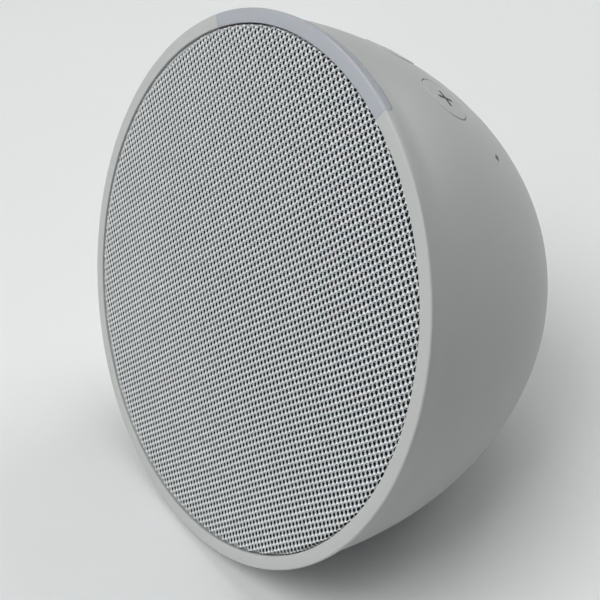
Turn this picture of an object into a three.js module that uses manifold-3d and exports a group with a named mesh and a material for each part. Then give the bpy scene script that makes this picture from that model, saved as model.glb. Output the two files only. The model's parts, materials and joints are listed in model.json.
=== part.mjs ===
// Smart speaker: a leaned-back half-ellipsoid housing with a flat round fabric front, a light bar
// along the top of its rim, three push buttons, a coaxial full-range driver and its electronics.
// Millimetres, +Z up, front towards -Y, standing on its foot pad at z = 0.
//
// Almost every piece is described in the face frame: x to the right, y up the front disc,
// z out of the front disc, with the origin at the disc's centre. Depths are measured back from
// the disc (depth = -z), and azimuths from the top of the disc, clockwise as seen from the front.

import * as THREE from "three";
import { mergeVertices } from "three/addons/utils/BufferGeometryUtils.js";
import Module from "manifold-3d";

const wasm = await Module();
wasm.setup();

// ---- driving dimensions -------------------------------------------------------------------

const GAP = 0.3; // clearance between neighbouring pieces
const TILT = THREE.MathUtils.degToRad(24); // lean of the front disc
const RIM_RADIUS = 49.5; // outside of the rim
const RIM_INNER = 47; // opening that holds the fabric
const RIM_FILLET = 0.35;
const RIM_CLEARANCE = 0.9; // rim's lowest point above the table
const BODY_RADIUS = 48.8; // equator of the ellipsoid behind the rim
const BODY_DEPTH = 64; // depth of its pole behind the disc
const FLARE_DEPTH = 3; // over which the body widens to the rim
const WALL = 2.2;
const POCKET_DEPTH = 3.6; // seat of the grille

const BASE_Z = 0.6; // flat underside of the housing
const FLOOR_Z = 2.8; // inside floor above it
const FOOT_THICKNESS = 1.5;
const FOOT_INSET = 2.5;

const LIGHT_HALF_ANGLE = THREE.MathUtils.degToRad(28.65);
const LIGHT_WRAP = 2.4; // how far the light bar laps over the rim's outer edge
const LED_ANGLES = [-24, -12, 0, 12, 24].map(THREE.MathUtils.degToRad);
const LED_RADIUS = 45.2;

const BUTTON_RADIUS = 4.85;
const BUTTON_DEPTH = 20.7; // of the button row behind the disc
const BUTTON_STEP = THREE.MathUtils.degToRad(20);
const BUTTON_NAMES = ["volume_down", "mute", "volume_up"];

const MIC_DEPTH = 28.2;
const MIC_ANGLE = THREE.MathUtils.degToRad(33.9);
const MIC_HOLE_RADIUS = 0.5;

const CHASSIS_FRONT = 5.3;
const CHASSIS_BACK = 7.5;
const CHASSIS_SCREW_RADIUS = 40.5; // pitch circle of the four screws
const SPEAKER_SCREW_RADIUS = 26.2;
const BOARD_SCREW_RADIUS = 24;

const JACK_Z = 15; // height of the power socket's axis above the table
const JACK_FACE_Y = 46.7; // its face, behind the disc's centre
const JACK_BACK_Y = 41;
const JACK_RECESS_RADIUS = 4.7;

const ROUND_SIDES = 48; // sides of the housing and what follows its rim
const SMALL_SIDES = 24; // sides of the driver's pieces
const SCREW_SIDES = 12;

// ---- where the face frame stands ----------------------------------------------------------

const backReach = Math.hypot(BODY_DEPTH * Math.cos(TILT), BODY_RADIUS * Math.sin(TILT));
const frontReach = (RIM_RADIUS - RIM_FILLET) * Math.sin(TILT);
const FACE_Y = (frontReach - backReach) / 2; // centres the housing front to back
const FACE_Z = RIM_RADIUS * Math.cos(TILT) + RIM_CLEARANCE;

const speaker = new THREE.Group();
const face = new THREE.Group();
face.position.set(0, FACE_Y, FACE_Z);
face.rotation.x = Math.PI / 2 - TILT;
speaker.add(face);
speaker.updateMatrixWorld(true);
const worldToFace = face.matrixWorld.clone().invert();

// ---- materials ----------------------------------------------------------------------------

const finish = (color, roughness, metalness = 0) => ({ color, roughness, metalness });
const FINISHES = {
  housing: finish(0xc3c9cb, 0.45),
  fabric: finish(0xb9bfc4, 0.95),
  light: finish(0xa9b6c4, 0.3),
  clear: finish(0xdfe6ec, 0.15),
  black: finish(0x2a2c2f, 0.6),
  rubber: finish(0x55595c, 0.9),
  board: finish(0x1f5a3c, 0.5),
  steel: finish(0x9aa0a5, 0.35, 1),
  zinc: finish(0xb8bcc0, 0.3, 1),
  copper: finish(0xb36b3c, 0.35, 1),
  aluminium: finish(0xc6c9cc, 0.4, 1),
  magnet: finish(0x3a3a3d, 0.5, 0.2),
  paper: finish(0x303236, 0.9),
  flex: finish(0xb07a2c, 0.5),
  led: finish(0xf2f0e4, 0.3),
};

// ---- solids -------------------------------------------------------------------------------

// A closed geometry as a manifold-3d solid, with its faces turned outwards.
function solid(geometry) {
  const bare = new THREE.BufferGeometry();
  bare.setAttribute("position", geometry.getAttribute("position"));
  bare.setIndex(geometry.index);
  const merged = mergeVertices(bare, 1e-4);
  const corners = merged.index.array;
  const kept = [];
  for (let i = 0; i < corners.length; i += 3) {
    const [a, b, c] = corners.slice(i, i + 3);
    if (a !== b && b !== c && c !== a) kept.push(a, b, c);
  }
  const vertProperties = merged.attributes.position.array;
  const build = (list) =>
    new wasm.Manifold(new wasm.Mesh({ numProp: 3, vertProperties, triVerts: new Uint32Array(list) }));
  const made = build(kept);
  return made.volume() < 0 ? build(kept.toReversed()) : made;
}

// A manifold-3d solid as a geometry.
function geometryOf(body) {
  const mesh = body.getMesh();
  const geometry = new THREE.BufferGeometry();
  const positions = new Float32Array(mesh.numVert * 3);
  for (let i = 0; i < mesh.numVert; i++) {
    positions.set(mesh.vertProperties.subarray(i * mesh.numProp, i * mesh.numProp + 3), i * 3);
  }
  geometry.setAttribute("position", new THREE.BufferAttribute(positions, 3));
  geometry.setIndex(new THREE.BufferAttribute(mesh.triVerts, 1));
  geometry.computeVertexNormals();
  return geometry;
}

// Adds one named piece to the face frame.
function piece(name, body, finishName, parent = face) {
  const mesh = new THREE.Mesh(geometryOf(body), new THREE.MeshStandardMaterial(FINISHES[finishName]));
  mesh.name = name;
  parent.add(mesh);
  return mesh;
}

// Revolves an outline of [radius, depth] points that starts and ends on the axis.
function turned(outline, sides = SMALL_SIDES) {
  const points = outline.map(([radius, depth]) => new THREE.Vector2(radius, -depth));
  return solid(new THREE.LatheGeometry(points, sides).rotateX(Math.PI / 2));
}

// Revolves a closed outline of [radius, depth] points that stays off the axis.
const turnedRing = (outline, sides) => turned([...outline, outline[0]], sides);

// A plain ring or disc between two radii and two depths.
function washer(inner, outer, front, back, sides) {
  const section = [[inner, front], [outer, front], [outer, back], [inner, back]];
  return inner > 0 ? turnedRing(section, sides) : turned(section, sides);
}

// A cylinder along the disc's axis, at an azimuth and a distance from that axis.
function pinAt(radius, front, back, azimuth, distance, sides = SCREW_SIDES) {
  const shape = new THREE.CylinderGeometry(radius, radius, back - front, sides).rotateX(Math.PI / 2);
  shape.translate(distance * Math.sin(azimuth), distance * Math.cos(azimuth), -(front + back) / 2);
  return solid(shape);
}

// Everything within an angle of the top of the disc and further from its axis than a radius.
function topSector(halfAngle, innerRadius = 0) {
  const reach = 90;
  const side = (turn) => new THREE.Vector2(reach * Math.sin(turn), reach * Math.cos(turn));
  const outline = [new THREE.Vector2(0, 0), side(-halfAngle), new THREE.Vector2(0, 1.2 * reach), side(halfAngle)];
  const wedge = new THREE.ExtrudeGeometry(new THREE.Shape(outline), { depth: 100, bevelEnabled: false });
  const sector = solid(wedge.translate(0, 0, -80));
  return innerRadius > 0 ? sector.subtract(washer(0, innerRadius, -30, 90, ROUND_SIDES)) : sector;
}

// A level slab between two heights above the table, in the face frame.
function slab(low, high) {
  const shape = new THREE.BoxGeometry(300, 300, high - low).translate(0, 0, (low + high) / 2);
  return solid(shape.applyMatrix4(worldToFace));
}

const aboveFloor = (body) => body.intersect(slab(FLOOR_Z + GAP, 200));

// ---- the dome -----------------------------------------------------------------------------

const ellipse = (radius, length, depth) => radius * Math.sqrt(Math.max(0, 1 - (depth / length) ** 2));

function bodyRadius(depth) {
  const flare = (RIM_RADIUS - BODY_RADIUS) * Math.exp(-((depth / FLARE_DEPTH) ** 2));
  return ellipse(BODY_RADIUS, BODY_DEPTH, depth) + flare;
}

const hollowRadius = (depth) => ellipse(BODY_RADIUS - WALL, BODY_DEPTH - WALL, depth);

// Points of a dome's outline from a depth to its pole, spaced evenly round the ellipse.
function domeOutline(radiusAt, length, from, steps) {
  const first = Math.asin(from / length);
  const points = [];
  for (let i = 0; i < steps; i++) {
    const depth = length * Math.sin(first + ((Math.PI / 2 - first) * i) / steps);
    points.push([radiusAt(depth), depth]);
  }
  return [...points, [0, length]];
}

const outerBody = turned(
  [
    [0, 0],
    [RIM_RADIUS - RIM_FILLET, 0],
    [RIM_RADIUS, RIM_FILLET],
    [bodyRadius(2.2), 2.2],
    ...domeOutline(bodyRadius, BODY_DEPTH, 5, 10),
  ],
  ROUND_SIDES,
);

const innerBody = turned(
  [[0, POCKET_DEPTH - 0.1], ...domeOutline(hollowRadius, BODY_DEPTH - WALL, POCKET_DEPTH - 0.1, 7)],
  ROUND_SIDES,
);

// The place on the dome at an azimuth and a depth, with its y axis along the outward normal.
function domePlace(azimuth, depth) {
  const step = 0.01;
  const slope = Math.atan((bodyRadius(depth - step) - bodyRadius(depth + step)) / (2 * step));
  const turn = new THREE.Matrix4().makeRotationZ(-azimuth);
  const shift = new THREE.Matrix4().makeTranslation(0, bodyRadius(depth), -depth);
  const lean = new THREE.Matrix4().makeRotationX(-slope);
  return turn.multiply(shift).multiply(lean);
}

// A cylinder along the dome's normal between two depths below its surface.
function studOnDome(place, radius, top, bottom, sides = 20) {
  const shape = new THREE.CylinderGeometry(radius, radius, bottom - top, sides);
  return solid(shape.translate(0, -(top + bottom) / 2, 0).applyMatrix4(place));
}

// A block on the dome's normal between two depths below its surface.
function blockOnDome(place, width, length, top, bottom) {
  const shape = new THREE.BoxGeometry(width, bottom - top, length);
  return solid(shape.translate(0, -(top + bottom) / 2, 0).applyMatrix4(place));
}

// A curved strip that follows the dome below the button row.
function stripUnderButtons(width, top, bottom, halfAngle) {
  const step = 0.01;
  const slope = Math.atan(
    (bodyRadius(BUTTON_DEPTH - step) - bodyRadius(BUTTON_DEPTH + step)) / (2 * step),
  );
  const corner = (below, along) => [
    bodyRadius(BUTTON_DEPTH) - below * Math.cos(slope) - along * Math.sin(slope),
    BUTTON_DEPTH - below * Math.sin(slope) + along * Math.cos(slope),
  ];
  const half = width / 2;
  const section = [corner(top, -half), corner(bottom, -half), corner(bottom, half), corner(top, half)];
  return turnedRing(section, ROUND_SIDES).intersect(topSector(halfAngle));
}

const buttonPlaces = BUTTON_NAMES.map((_, i) => domePlace((i - 1) * BUTTON_STEP, BUTTON_DEPTH));
const micPlaces = [-MIC_ANGLE, MIC_ANGLE].map((angle) => domePlace(angle, MIC_DEPTH));
const CARRIER_SCREW_ANGLE = THREE.MathUtils.degToRad(31.5);
const carrierPlaces = [-CARRIER_SCREW_ANGLE, CARRIER_SCREW_ANGLE].map((angle) => domePlace(angle, BUTTON_DEPTH));
const chassisScrewAngles = [1, 3, 5, 7].map((eighth) => (eighth * Math.PI) / 4);
const speakerScrewAngles = [0, 1, 2, 3].map((quarter) => (quarter * Math.PI) / 2);
const boardScrewAngles = [0, 1, 2].map((third) => (third * 2 * Math.PI) / 3);

// ---- power socket, along the level y axis -------------------------------------------------

// A level cylinder on the socket's axis, between two distances behind the disc's centre.
function socketPin(radius, from, to, sides = 24) {
  const shape = new THREE.CylinderGeometry(radius, radius, to - from, sides);
  shape.translate(0, FACE_Y + (from + to) / 2, JACK_Z);
  return solid(shape.applyMatrix4(worldToFace));
}

function powerSocket() {
  const size = 10.4;
  const shape = new THREE.BoxGeometry(size, JACK_FACE_Y - JACK_BACK_Y, size);
  shape.translate(0, FACE_Y + (JACK_FACE_Y + JACK_BACK_Y) / 2, JACK_Z);
  const block = solid(shape.applyMatrix4(worldToFace));
  piece("power_socket", block.subtract(socketPin(2.9, JACK_BACK_Y + 1, JACK_FACE_Y + 1)), "black");
  piece("power_socket_pin", socketPin(0.85, JACK_BACK_Y + 1 + GAP, JACK_FACE_Y - 0.5, SCREW_SIDES), "steel");
}

// ---- base ---------------------------------------------------------------------------------

// The ellipse in which the table-parallel plane at a height cuts the dome.
function levelCut(height) {
  const h = height - FACE_Z;
  const c = Math.cos(TILT);
  const s = Math.sin(TILT);
  const across = 1 / BODY_RADIUS ** 2;
  const along = 1 / BODY_DEPTH ** 2;
  const a = s * s * across + c * c * along;
  const b = 2 * h * s * c * (across - along);
  const rest = (b * b) / (4 * a) - (h * h * (c * c * across + s * s * along) - 1);
  return { y: FACE_Y - b / (2 * a), halfWidth: BODY_RADIUS * Math.sqrt(rest), halfLength: Math.sqrt(rest / a) };
}

// An upright elliptic plate inside the base's outline, in the table's own frame.
function basePlate(inset, low, high) {
  const cut = levelCut(BASE_Z);
  const outline = new THREE.Shape();
  outline.absellipse(0, cut.y, cut.halfWidth - inset, cut.halfLength - inset, 0, 2 * Math.PI);
  const plate = new THREE.ExtrudeGeometry(outline, {
    depth: high - low,
    bevelEnabled: false,
    curveSegments: 24,
  });
  return plate.translate(0, 0, low);
}

function footPad() {
  piece("foot_pad", solid(basePlate(FOOT_INSET + GAP, 0, FOOT_THICKNESS)), "rubber", speaker);
}

// ---- housing ------------------------------------------------------------------------------

function rearHousing() {
  const screwBosses = chassisScrewAngles.map((angle) =>
    pinAt(2.75, CHASSIS_BACK + GAP, 42, angle, CHASSIS_SCREW_RADIUS, SCREW_SIDES),
  );
  const carrierBosses = carrierPlaces.map((place) => studOnDome(place, 2.1, 1, 8.2, SCREW_SIDES));
  const socketBoss = socketPin(6.4, JACK_FACE_Y + GAP, 70);
  const shell = outerBody
    .subtract(innerBody.intersect(slab(FLOOR_Z, 200)))
    .subtract(washer(0, RIM_INNER, -1, POCKET_DEPTH, ROUND_SIDES));
  let housing = [...screwBosses, ...carrierBosses, socketBoss]
    .reduce((sum, boss) => sum.add(boss.intersect(outerBody)), shell)
    .subtract(slab(-60, BASE_Z))
    .subtract(solid(basePlate(FOOT_INSET, -1, FOOT_THICKNESS + GAP).applyMatrix4(worldToFace)))
    .subtract(socketPin(JACK_RECESS_RADIUS, JACK_FACE_Y, 70));
  const lightNotch = washer(RIM_INNER - 1, RIM_RADIUS + 2, -1, LIGHT_WRAP + GAP, ROUND_SIDES)
    .add(washer(RIM_INNER - 1, 48, LIGHT_WRAP, 6.4, ROUND_SIDES))
    .intersect(topSector(LIGHT_HALF_ANGLE + GAP / RIM_RADIUS));
  housing = housing.subtract(lightNotch);
  for (const place of buttonPlaces) {
    housing = housing.subtract(studOnDome(place, BUTTON_RADIUS + GAP, -2, 3.2));
  }
  for (const place of micPlaces) {
    housing = housing.subtract(studOnDome(place, MIC_HOLE_RADIUS, -1, 3, 8));
  }
  for (const place of carrierPlaces) {
    housing = housing.subtract(studOnDome(place, 1.2, 3.4, 9, 8));
  }
  for (const angle of chassisScrewAngles) {
    housing = housing.subtract(pinAt(1.25, CHASSIS_BACK, 16, angle, CHASSIS_SCREW_RADIUS, 8));
  }
  piece("rear_housing", housing, "housing");
}

// ---- light bar ----------------------------------------------------------------------------

function lightBar() {
  const bar = turnedRing(
    [
      [RIM_INNER, 0],
      [RIM_RADIUS - RIM_FILLET, 0],
      [RIM_RADIUS, RIM_FILLET],
      [bodyRadius(LIGHT_WRAP), LIGHT_WRAP],
      [RIM_INNER, LIGHT_WRAP],
    ],
    ROUND_SIDES,
  );
  piece("light_bar", bar.intersect(topSector(LIGHT_HALF_ANGLE)), "light");

  const guideFront = LIGHT_WRAP + GAP;
  const guide = turnedRing(
    [[RIM_INNER, guideFront], [47.7, guideFront], [47.7, 5.1], [44.4, 5.1], [44.4, 3.9], [RIM_INNER, 3.9]],
    ROUND_SIDES,
  );
  piece("light_guide", guide.intersect(topSector(LIGHT_HALF_ANGLE - 0.01)), "clear");

  const board = washer(42.5, 45.9, 6.5, 7.3, ROUND_SIDES);
  piece("led_board", board.intersect(topSector(LIGHT_HALF_ANGLE)), "board");

  LED_ANGLES.forEach((angle, i) => {
    const led = new THREE.BoxGeometry(2.2, 1.2, 1).translate(0, LED_RADIUS, -5.9).rotateZ(-angle);
    piece("led_" + (i + 1), solid(led), "led");
  });
}

// ---- grille -------------------------------------------------------------------------------

function grilleFabric() {
  const outer = RIM_INNER - GAP;
  const front = 0.4;
  const thickness = 0.8;
  const rolled = 0.5; // radius of the turned-down edge
  const outline = [
    [0, front],
    [outer - rolled, front],
    [outer, front + rolled],
    [outer, POCKET_DEPTH - 0.2],
    [outer - thickness, POCKET_DEPTH - 0.2],
    [outer - thickness, front + thickness],
    [0, front + thickness],
  ];
  piece("grille_fabric", turned(outline, ROUND_SIDES), "fabric");
}

// A flat plate with hexagonal openings in rings about its centre.
function perforatedPlate(radius, front, back, rings, pitch, holeRadius) {
  const plate = new THREE.Shape();
  plate.absarc(0, 0, radius, 0, 2 * Math.PI);
  for (let row = -rings; row <= rings; row++) {
    const count = 2 * rings + 1 - Math.abs(row);
    for (let i = 0; i < count; i++) {
      const x = (i - (count - 1) / 2) * pitch;
      const y = (row * pitch * Math.sqrt(3)) / 2;
      const corners = [0, 1, 2, 3, 4, 5].map((k) => {
        const turn = ((k + 0.5) * Math.PI) / 3;
        return new THREE.Vector2(x + holeRadius * Math.cos(turn), y + holeRadius * Math.sin(turn));
      });
      plate.holes.push(new THREE.Path(corners));
    }
  }
  const options = { depth: back - front, bevelEnabled: false, curveSegments: ROUND_SIDES / 2 };
  return solid(new THREE.ExtrudeGeometry(plate, options).translate(0, 0, -back));
}

function grilleFrame() {
  const radius = RIM_INNER - GAP - 0.8 - GAP;
  const plate = perforatedPlate(radius, 1.5, 3.4, 3, 12.2, 5.4);
  const skirt = washer(43.5, radius, 3, 5, ROUND_SIDES);
  const notch = washer(42, 60, 3.4, 6, ROUND_SIDES).intersect(topSector(0.55));
  piece("grille_frame", plate.add(aboveFloor(skirt.subtract(notch))), "black");
}

// ---- chassis ------------------------------------------------------------------------------

// A screw along the disc's axis, driven backwards or forwards.
function screwAt(name, azimuth, distance, headFront, headBack, tip, radius = 1.9) {
  const head = pinAt(radius, headFront, headBack, azimuth, distance);
  const [front, back] = tip > headBack ? [headBack - 0.1, tip] : [tip, headFront + 0.1];
  piece(name, head.add(pinAt(0.9, front, back, azimuth, distance, 8)), "zinc");
}

function frontChassis() {
  let plate = washer(24.5, 45.9, CHASSIS_FRONT, CHASSIS_BACK, ROUND_SIDES).subtract(topSector(0.55, 41.5));
  for (const angle of chassisScrewAngles) {
    plate = plate.subtract(pinAt(1.25, 4, 9, angle, CHASSIS_SCREW_RADIUS, 8));
  }
  for (const angle of speakerScrewAngles) {
    plate = plate.subtract(pinAt(1.25, CHASSIS_FRONT + 0.8, 9, angle, SPEAKER_SCREW_RADIUS, 8));
  }
  piece("front_chassis", aboveFloor(plate), "black");
  chassisScrewAngles.forEach((angle, i) => {
    screwAt("chassis_screw_" + (i + 1), angle, CHASSIS_SCREW_RADIUS, 3.8, CHASSIS_FRONT - 0.15, 15, 2.2);
  });
}

// ---- driver -------------------------------------------------------------------------------

const FLANGE_FRONT = 8.9;
const FLANGE_BACK = 10.1;
const COIL_RADIUS = 7.6;
const CONE_RADIUS = 19.6;

function throughScrews(body) {
  return speakerScrewAngles.reduce(
    (rest, angle) => rest.subtract(pinAt(1.25, CHASSIS_BACK, FLANGE_BACK + 1, angle, SPEAKER_SCREW_RADIUS, 8)),
    body,
  );
}

function basket() {
  let body = turnedRing([
    [22.5, FLANGE_FRONT],
    [28.5, FLANGE_FRONT],
    [28.5, FLANGE_BACK],
    [24.3, FLANGE_BACK],
    [18.4, 19.2],
    [18.4, 21.2],
    [12.8, 21.2],
    [12.8, 20],
    [17.2, 20],
    [17.2, 19],
    [22.5, FLANGE_BACK - 0.2],
  ]);
  for (const angle of chassisScrewAngles) {
    const window = new THREE.BoxGeometry(13, 30, 6.4).translate(0, 26, -14.6).rotateZ(-angle);
    body = body.subtract(solid(window));
  }
  piece("speaker_basket", throughScrews(body), "steel");
}

// A half-round roll between the cone's edge and the flange, with a flat lip outside it.
function surround() {
  const centre = CONE_RADIUS + GAP + 1.45;
  const level = 8.4;
  const arc = (radius, from, to) =>
    [0, 1, 2, 3, 4].map((i) => {
      const turn = from + ((to - from) * i) / 4;
      return [centre + radius * Math.cos(turn), level - radius * Math.sin(turn)];
    });
  const lipTop = level - 0.4;
  const outer = arc(1.45, Math.asin(0.4 / 1.45), Math.PI);
  const inner = arc(1, Math.PI, 0);
  const lip = [[inner[4][0], level + 0.2], [24.2, level + 0.2], [24.2, lipTop]];
  piece("surround", turnedRing([...outer, ...inner, ...lip]), "rubber");
}

// A ring of shallow corrugations between the coil and the basket.
function spider() {
  const upper = [];
  const lower = [];
  const folds = 4;
  for (let i = 0; i <= folds; i++) {
    const radius = 8.2 + ((17 - 8.2) * i) / folds;
    const wave = i % 2 ? 0.35 : 0;
    upper.push([radius, 17.6 + wave]);
    lower.unshift([radius, 18 + wave]);
  }
  piece("spider", turnedRing([...upper, ...lower]), "flex");
}

function movingCone() {
  const cone = turnedRing([[CONE_RADIUS, 8.2], [13, 12.6], [8.3, 15.2], [8.3, 15.9], [13, 13.2], [CONE_RADIUS, 8.9]]);
  piece("cone", cone, "paper");
  const cap = turned([
    [0, 11.4],
    [4.2, 11.9],
    [7.4, 13.1],
    [9, 14.2],
    [8.5, 14.4],
    [7.1, 13.6],
    [4, 12.4],
    [0, 11.9],
  ]);
  piece("dust_cap", cap, "paper");
  const wireRadius = COIL_RADIUS + 0.8;
  const coil = turnedRing([
    [COIL_RADIUS, 16.2],
    [COIL_RADIUS + 0.3, 16.2],
    [COIL_RADIUS + 0.3, 20.8],
    [wireRadius, 20.8],
    [wireRadius, 25],
    [COIL_RADIUS, 25],
  ]);
  piece("voice_coil", coil, "copper");
}

function magnetSystem() {
  piece("top_plate", washer(9, 15, 21.5, 24, SMALL_SIDES), "steel");
  piece("magnet", washer(9.8, 15, 24.3, 30.3, SMALL_SIDES), "magnet");
  const yoke = turned([[0, 21.6], [7.1, 21.6], [7.1, 30.6], [15, 30.6], [15, 33], [0, 33]]);
  piece("yoke", yoke, "steel");
}

function driver() {
  const gasket = washer(24.5, 28.2, CHASSIS_BACK + GAP, FLANGE_FRONT - GAP, SMALL_SIDES);
  piece("speaker_gasket", throughScrews(gasket), "rubber");
  basket();
  surround();
  spider();
  movingCone();
  magnetSystem();
  speakerScrewAngles.forEach((angle, i) => {
    const headFront = FLANGE_BACK + 0.15;
    screwAt("speaker_screw_" + (i + 1), angle, SPEAKER_SCREW_RADIUS, headFront, headFront + 1.3, 6.4, 1.7);
  });
}

// ---- speaker enclosure and electronics ----------------------------------------------------

const ENCLOSURE_BACK = 37.5;
const BOARD_FRONT = 41;
const BOARD_BACK = 42.2;
const SPREADER_FRONT = 44.9;
const SPREADER_BACK = 46.1;

function enclosure() {
  const front = CHASSIS_BACK + GAP;
  let cup = turned(
    [[0, 35.7], [26.3, 35.7], [29.7, front], [31.5, front], [28, ENCLOSURE_BACK], [0, ENCLOSURE_BACK]],
    48,
  );
  for (const angle of boardScrewAngles) {
    const top = BOARD_FRONT - GAP;
    cup = cup.add(pinAt(2.6, ENCLOSURE_BACK - 0.5, top, angle, BOARD_SCREW_RADIUS));
    cup = cup.subtract(pinAt(1.2, ENCLOSURE_BACK + 0.4, top + 1, angle, BOARD_SCREW_RADIUS, 8));
  }
  piece("speaker_enclosure", cup, "black");
}

function electronics() {
  let board = washer(0, 27, BOARD_FRONT, BOARD_BACK, 48);
  let spreader = washer(0, 26.6, SPREADER_FRONT, SPREADER_BACK, 48);
  for (const angle of boardScrewAngles) {
    board = board.subtract(pinAt(1.25, 40, 43, angle, BOARD_SCREW_RADIUS, 8));
    spreader = spreader
      .add(pinAt(2.1, BOARD_BACK + GAP, SPREADER_FRONT + 0.1, angle, BOARD_SCREW_RADIUS))
      .subtract(pinAt(1.25, 42, 47, angle, BOARD_SCREW_RADIUS, 8));
  }
  piece("main_board", board, "board");
  piece("heat_spreader", spreader, "aluminium");
  const can = new THREE.BoxGeometry(22, 16, 2).translate(0, 2, -(BOARD_BACK + GAP + 1));
  piece("shield_can", solid(can), "zinc");
  boardScrewAngles.forEach((angle, i) => {
    const head = SPREADER_BACK + 0.15;
    screwAt("board_screw_" + (i + 1), angle, BOARD_SCREW_RADIUS, head, head + 1.3, 38.3, 1.7);
  });
  for (const [side, name] of [[-1, "antenna_left"], [1, "antenna_right"]]) {
    const plate = new THREE.BoxGeometry(0.8, 8, 18).translate(side * 38, 0, -21);
    piece(name, solid(plate), "board");
  }
}

// ---- buttons and microphones --------------------------------------------------------------

const STEM_END = 5.05;
const SWITCH_TOP = 5.9;
const SWITCH_BOTTOM = 7.9;

function buttons() {
  BUTTON_NAMES.forEach((name, i) => {
    const place = buttonPlaces[i];
    const cap = studOnDome(place, BUTTON_RADIUS, -2, 3).intersect(outerBody);
    const flange = studOnDome(place, 6, 2.9, 3.6);
    const stem = studOnDome(place, 1.6, 3.5, STEM_END, SCREW_SIDES);
    piece(name + "_button", cap.add(flange).add(stem), "housing");
    piece(name + "_plunger", studOnDome(place, 1, STEM_END + 0.15, 6.9, SCREW_SIDES), "black");
    const bore = studOnDome(place, 1.3, SWITCH_TOP - 0.5, SWITCH_BOTTOM - GAP, SCREW_SIDES);
    piece(name + "_switch", blockOnDome(place, 4.5, 4.5, SWITCH_TOP, SWITCH_BOTTOM).subtract(bore), "steel");
  });
  piece("button_flex", stripUnderButtons(8, 8, 8.3, THREE.MathUtils.degToRad(26)), "flex");

  let carrier = stripUnderButtons(9, 8.6, 10.4, THREE.MathUtils.degToRad(35));
  for (const place of carrierPlaces) {
    carrier = carrier.subtract(studOnDome(place, 1.2, 7, 12, 8));
  }
  piece("button_carrier", carrier, "black");
  carrierPlaces.forEach((place, i) => {
    const head = studOnDome(place, 1.9, 10.75, 12, SCREW_SIDES);
    piece("carrier_screw_" + (i + 1), head.add(studOnDome(place, 0.8, 4, 11, 8)), "zinc");
  });
}

function microphones() {
  micPlaces.forEach((place, i) => {
    const side = ["left", "right"][i];
    const seal = studOnDome(place, 2.5, 2.6, 3.6, 16).subtract(studOnDome(place, 0.7, 2, 4, 8));
    piece("mic_gasket_" + side, seal, "rubber");
    piece("microphone_" + side, blockOnDome(place, 4, 3, 3.8, 5), "zinc");
  });
}

rearHousing();
footPad();
lightBar();
grilleFabric();
grilleFrame();
frontChassis();
driver();
enclosure();
electronics();
buttons();
microphones();
powerSocket();

export default speaker;
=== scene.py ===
"""Smart speaker: a half-egg housing leaned back on its foot, with a woven round front.

The shells, the cloth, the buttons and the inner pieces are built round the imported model, in
metres. Most outlines are written in the face frame: x to the right, y up the front disc, z out of
it, with the origin at the disc's centre. Depths are measured back from the disc and azimuths
from its top, clockwise as seen from the front.
"""

import json
import math

import bmesh
import bpy
import numpy as np
from mathutils import Matrix, Vector


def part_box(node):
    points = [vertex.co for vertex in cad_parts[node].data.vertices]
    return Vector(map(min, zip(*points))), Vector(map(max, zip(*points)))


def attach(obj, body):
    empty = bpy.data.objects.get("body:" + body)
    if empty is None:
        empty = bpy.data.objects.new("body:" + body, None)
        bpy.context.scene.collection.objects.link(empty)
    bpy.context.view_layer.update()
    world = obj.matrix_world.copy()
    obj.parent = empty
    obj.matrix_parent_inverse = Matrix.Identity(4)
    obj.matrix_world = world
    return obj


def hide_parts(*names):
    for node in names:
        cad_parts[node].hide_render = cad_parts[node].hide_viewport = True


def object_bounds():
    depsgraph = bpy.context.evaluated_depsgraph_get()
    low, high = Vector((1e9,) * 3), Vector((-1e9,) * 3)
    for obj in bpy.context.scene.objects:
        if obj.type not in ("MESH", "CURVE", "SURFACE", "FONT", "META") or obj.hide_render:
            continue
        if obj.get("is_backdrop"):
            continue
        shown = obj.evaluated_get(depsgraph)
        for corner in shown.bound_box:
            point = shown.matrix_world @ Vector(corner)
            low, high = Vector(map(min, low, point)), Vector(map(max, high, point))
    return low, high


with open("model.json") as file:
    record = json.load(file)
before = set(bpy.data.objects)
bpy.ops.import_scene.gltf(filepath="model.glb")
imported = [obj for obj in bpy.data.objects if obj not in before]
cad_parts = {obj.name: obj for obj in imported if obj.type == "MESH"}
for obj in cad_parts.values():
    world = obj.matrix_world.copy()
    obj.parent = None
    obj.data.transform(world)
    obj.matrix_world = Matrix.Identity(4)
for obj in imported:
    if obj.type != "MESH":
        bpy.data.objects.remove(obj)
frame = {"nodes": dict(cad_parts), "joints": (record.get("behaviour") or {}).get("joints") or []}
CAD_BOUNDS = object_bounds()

bl_info = {
    "name": "Smart Speaker",
    "version": (1, 0, 0),
    "blender": (4, 5, 0),
    "location": "3D View > Sidebar > Speaker",
    "description": "Builds a small smart speaker round its packed mechanical model",
    "category": "Add Mesh",
}

MM = 0.001
DEGREE = math.pi / 180
FULL_TURN = 2 * math.pi

BODY = "speaker_body"
BUTTONS = ("volume_down", "mute", "volume_up")

# ---- where the front disc stands ----------------------------------------------------------


def joint_axis(name):
    """The direction of one of the model's joints."""
    return next(Vector(j["axis"]).normalized() for j in frame["joints"] if j["name"] == name)


RIM_FILLET = 0.35 * MM
RIM_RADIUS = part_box("rear_housing")[1].x
RIGHT = Vector((1, 0, 0))
FORWARD = joint_axis("cone_travel")
UP = FORWARD.cross(RIGHT)
DISC_CENTRE = Vector((
    0,
    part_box("rear_housing")[0].y + (RIM_RADIUS - RIM_FILLET) * FORWARD.z,
    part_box("light_bar")[1].z - RIM_RADIUS * UP.z + RIM_FILLET * FORWARD.z,
))
FACE = Matrix.Translation(DISC_CENTRE) @ Matrix((RIGHT, UP, FORWARD)).transposed().to_4x4()
TO_FACE = FACE.inverted()
LEVEL = Matrix.Identity(4)

# ---- fixed sizes of the housing -----------------------------------------------------------

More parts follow.
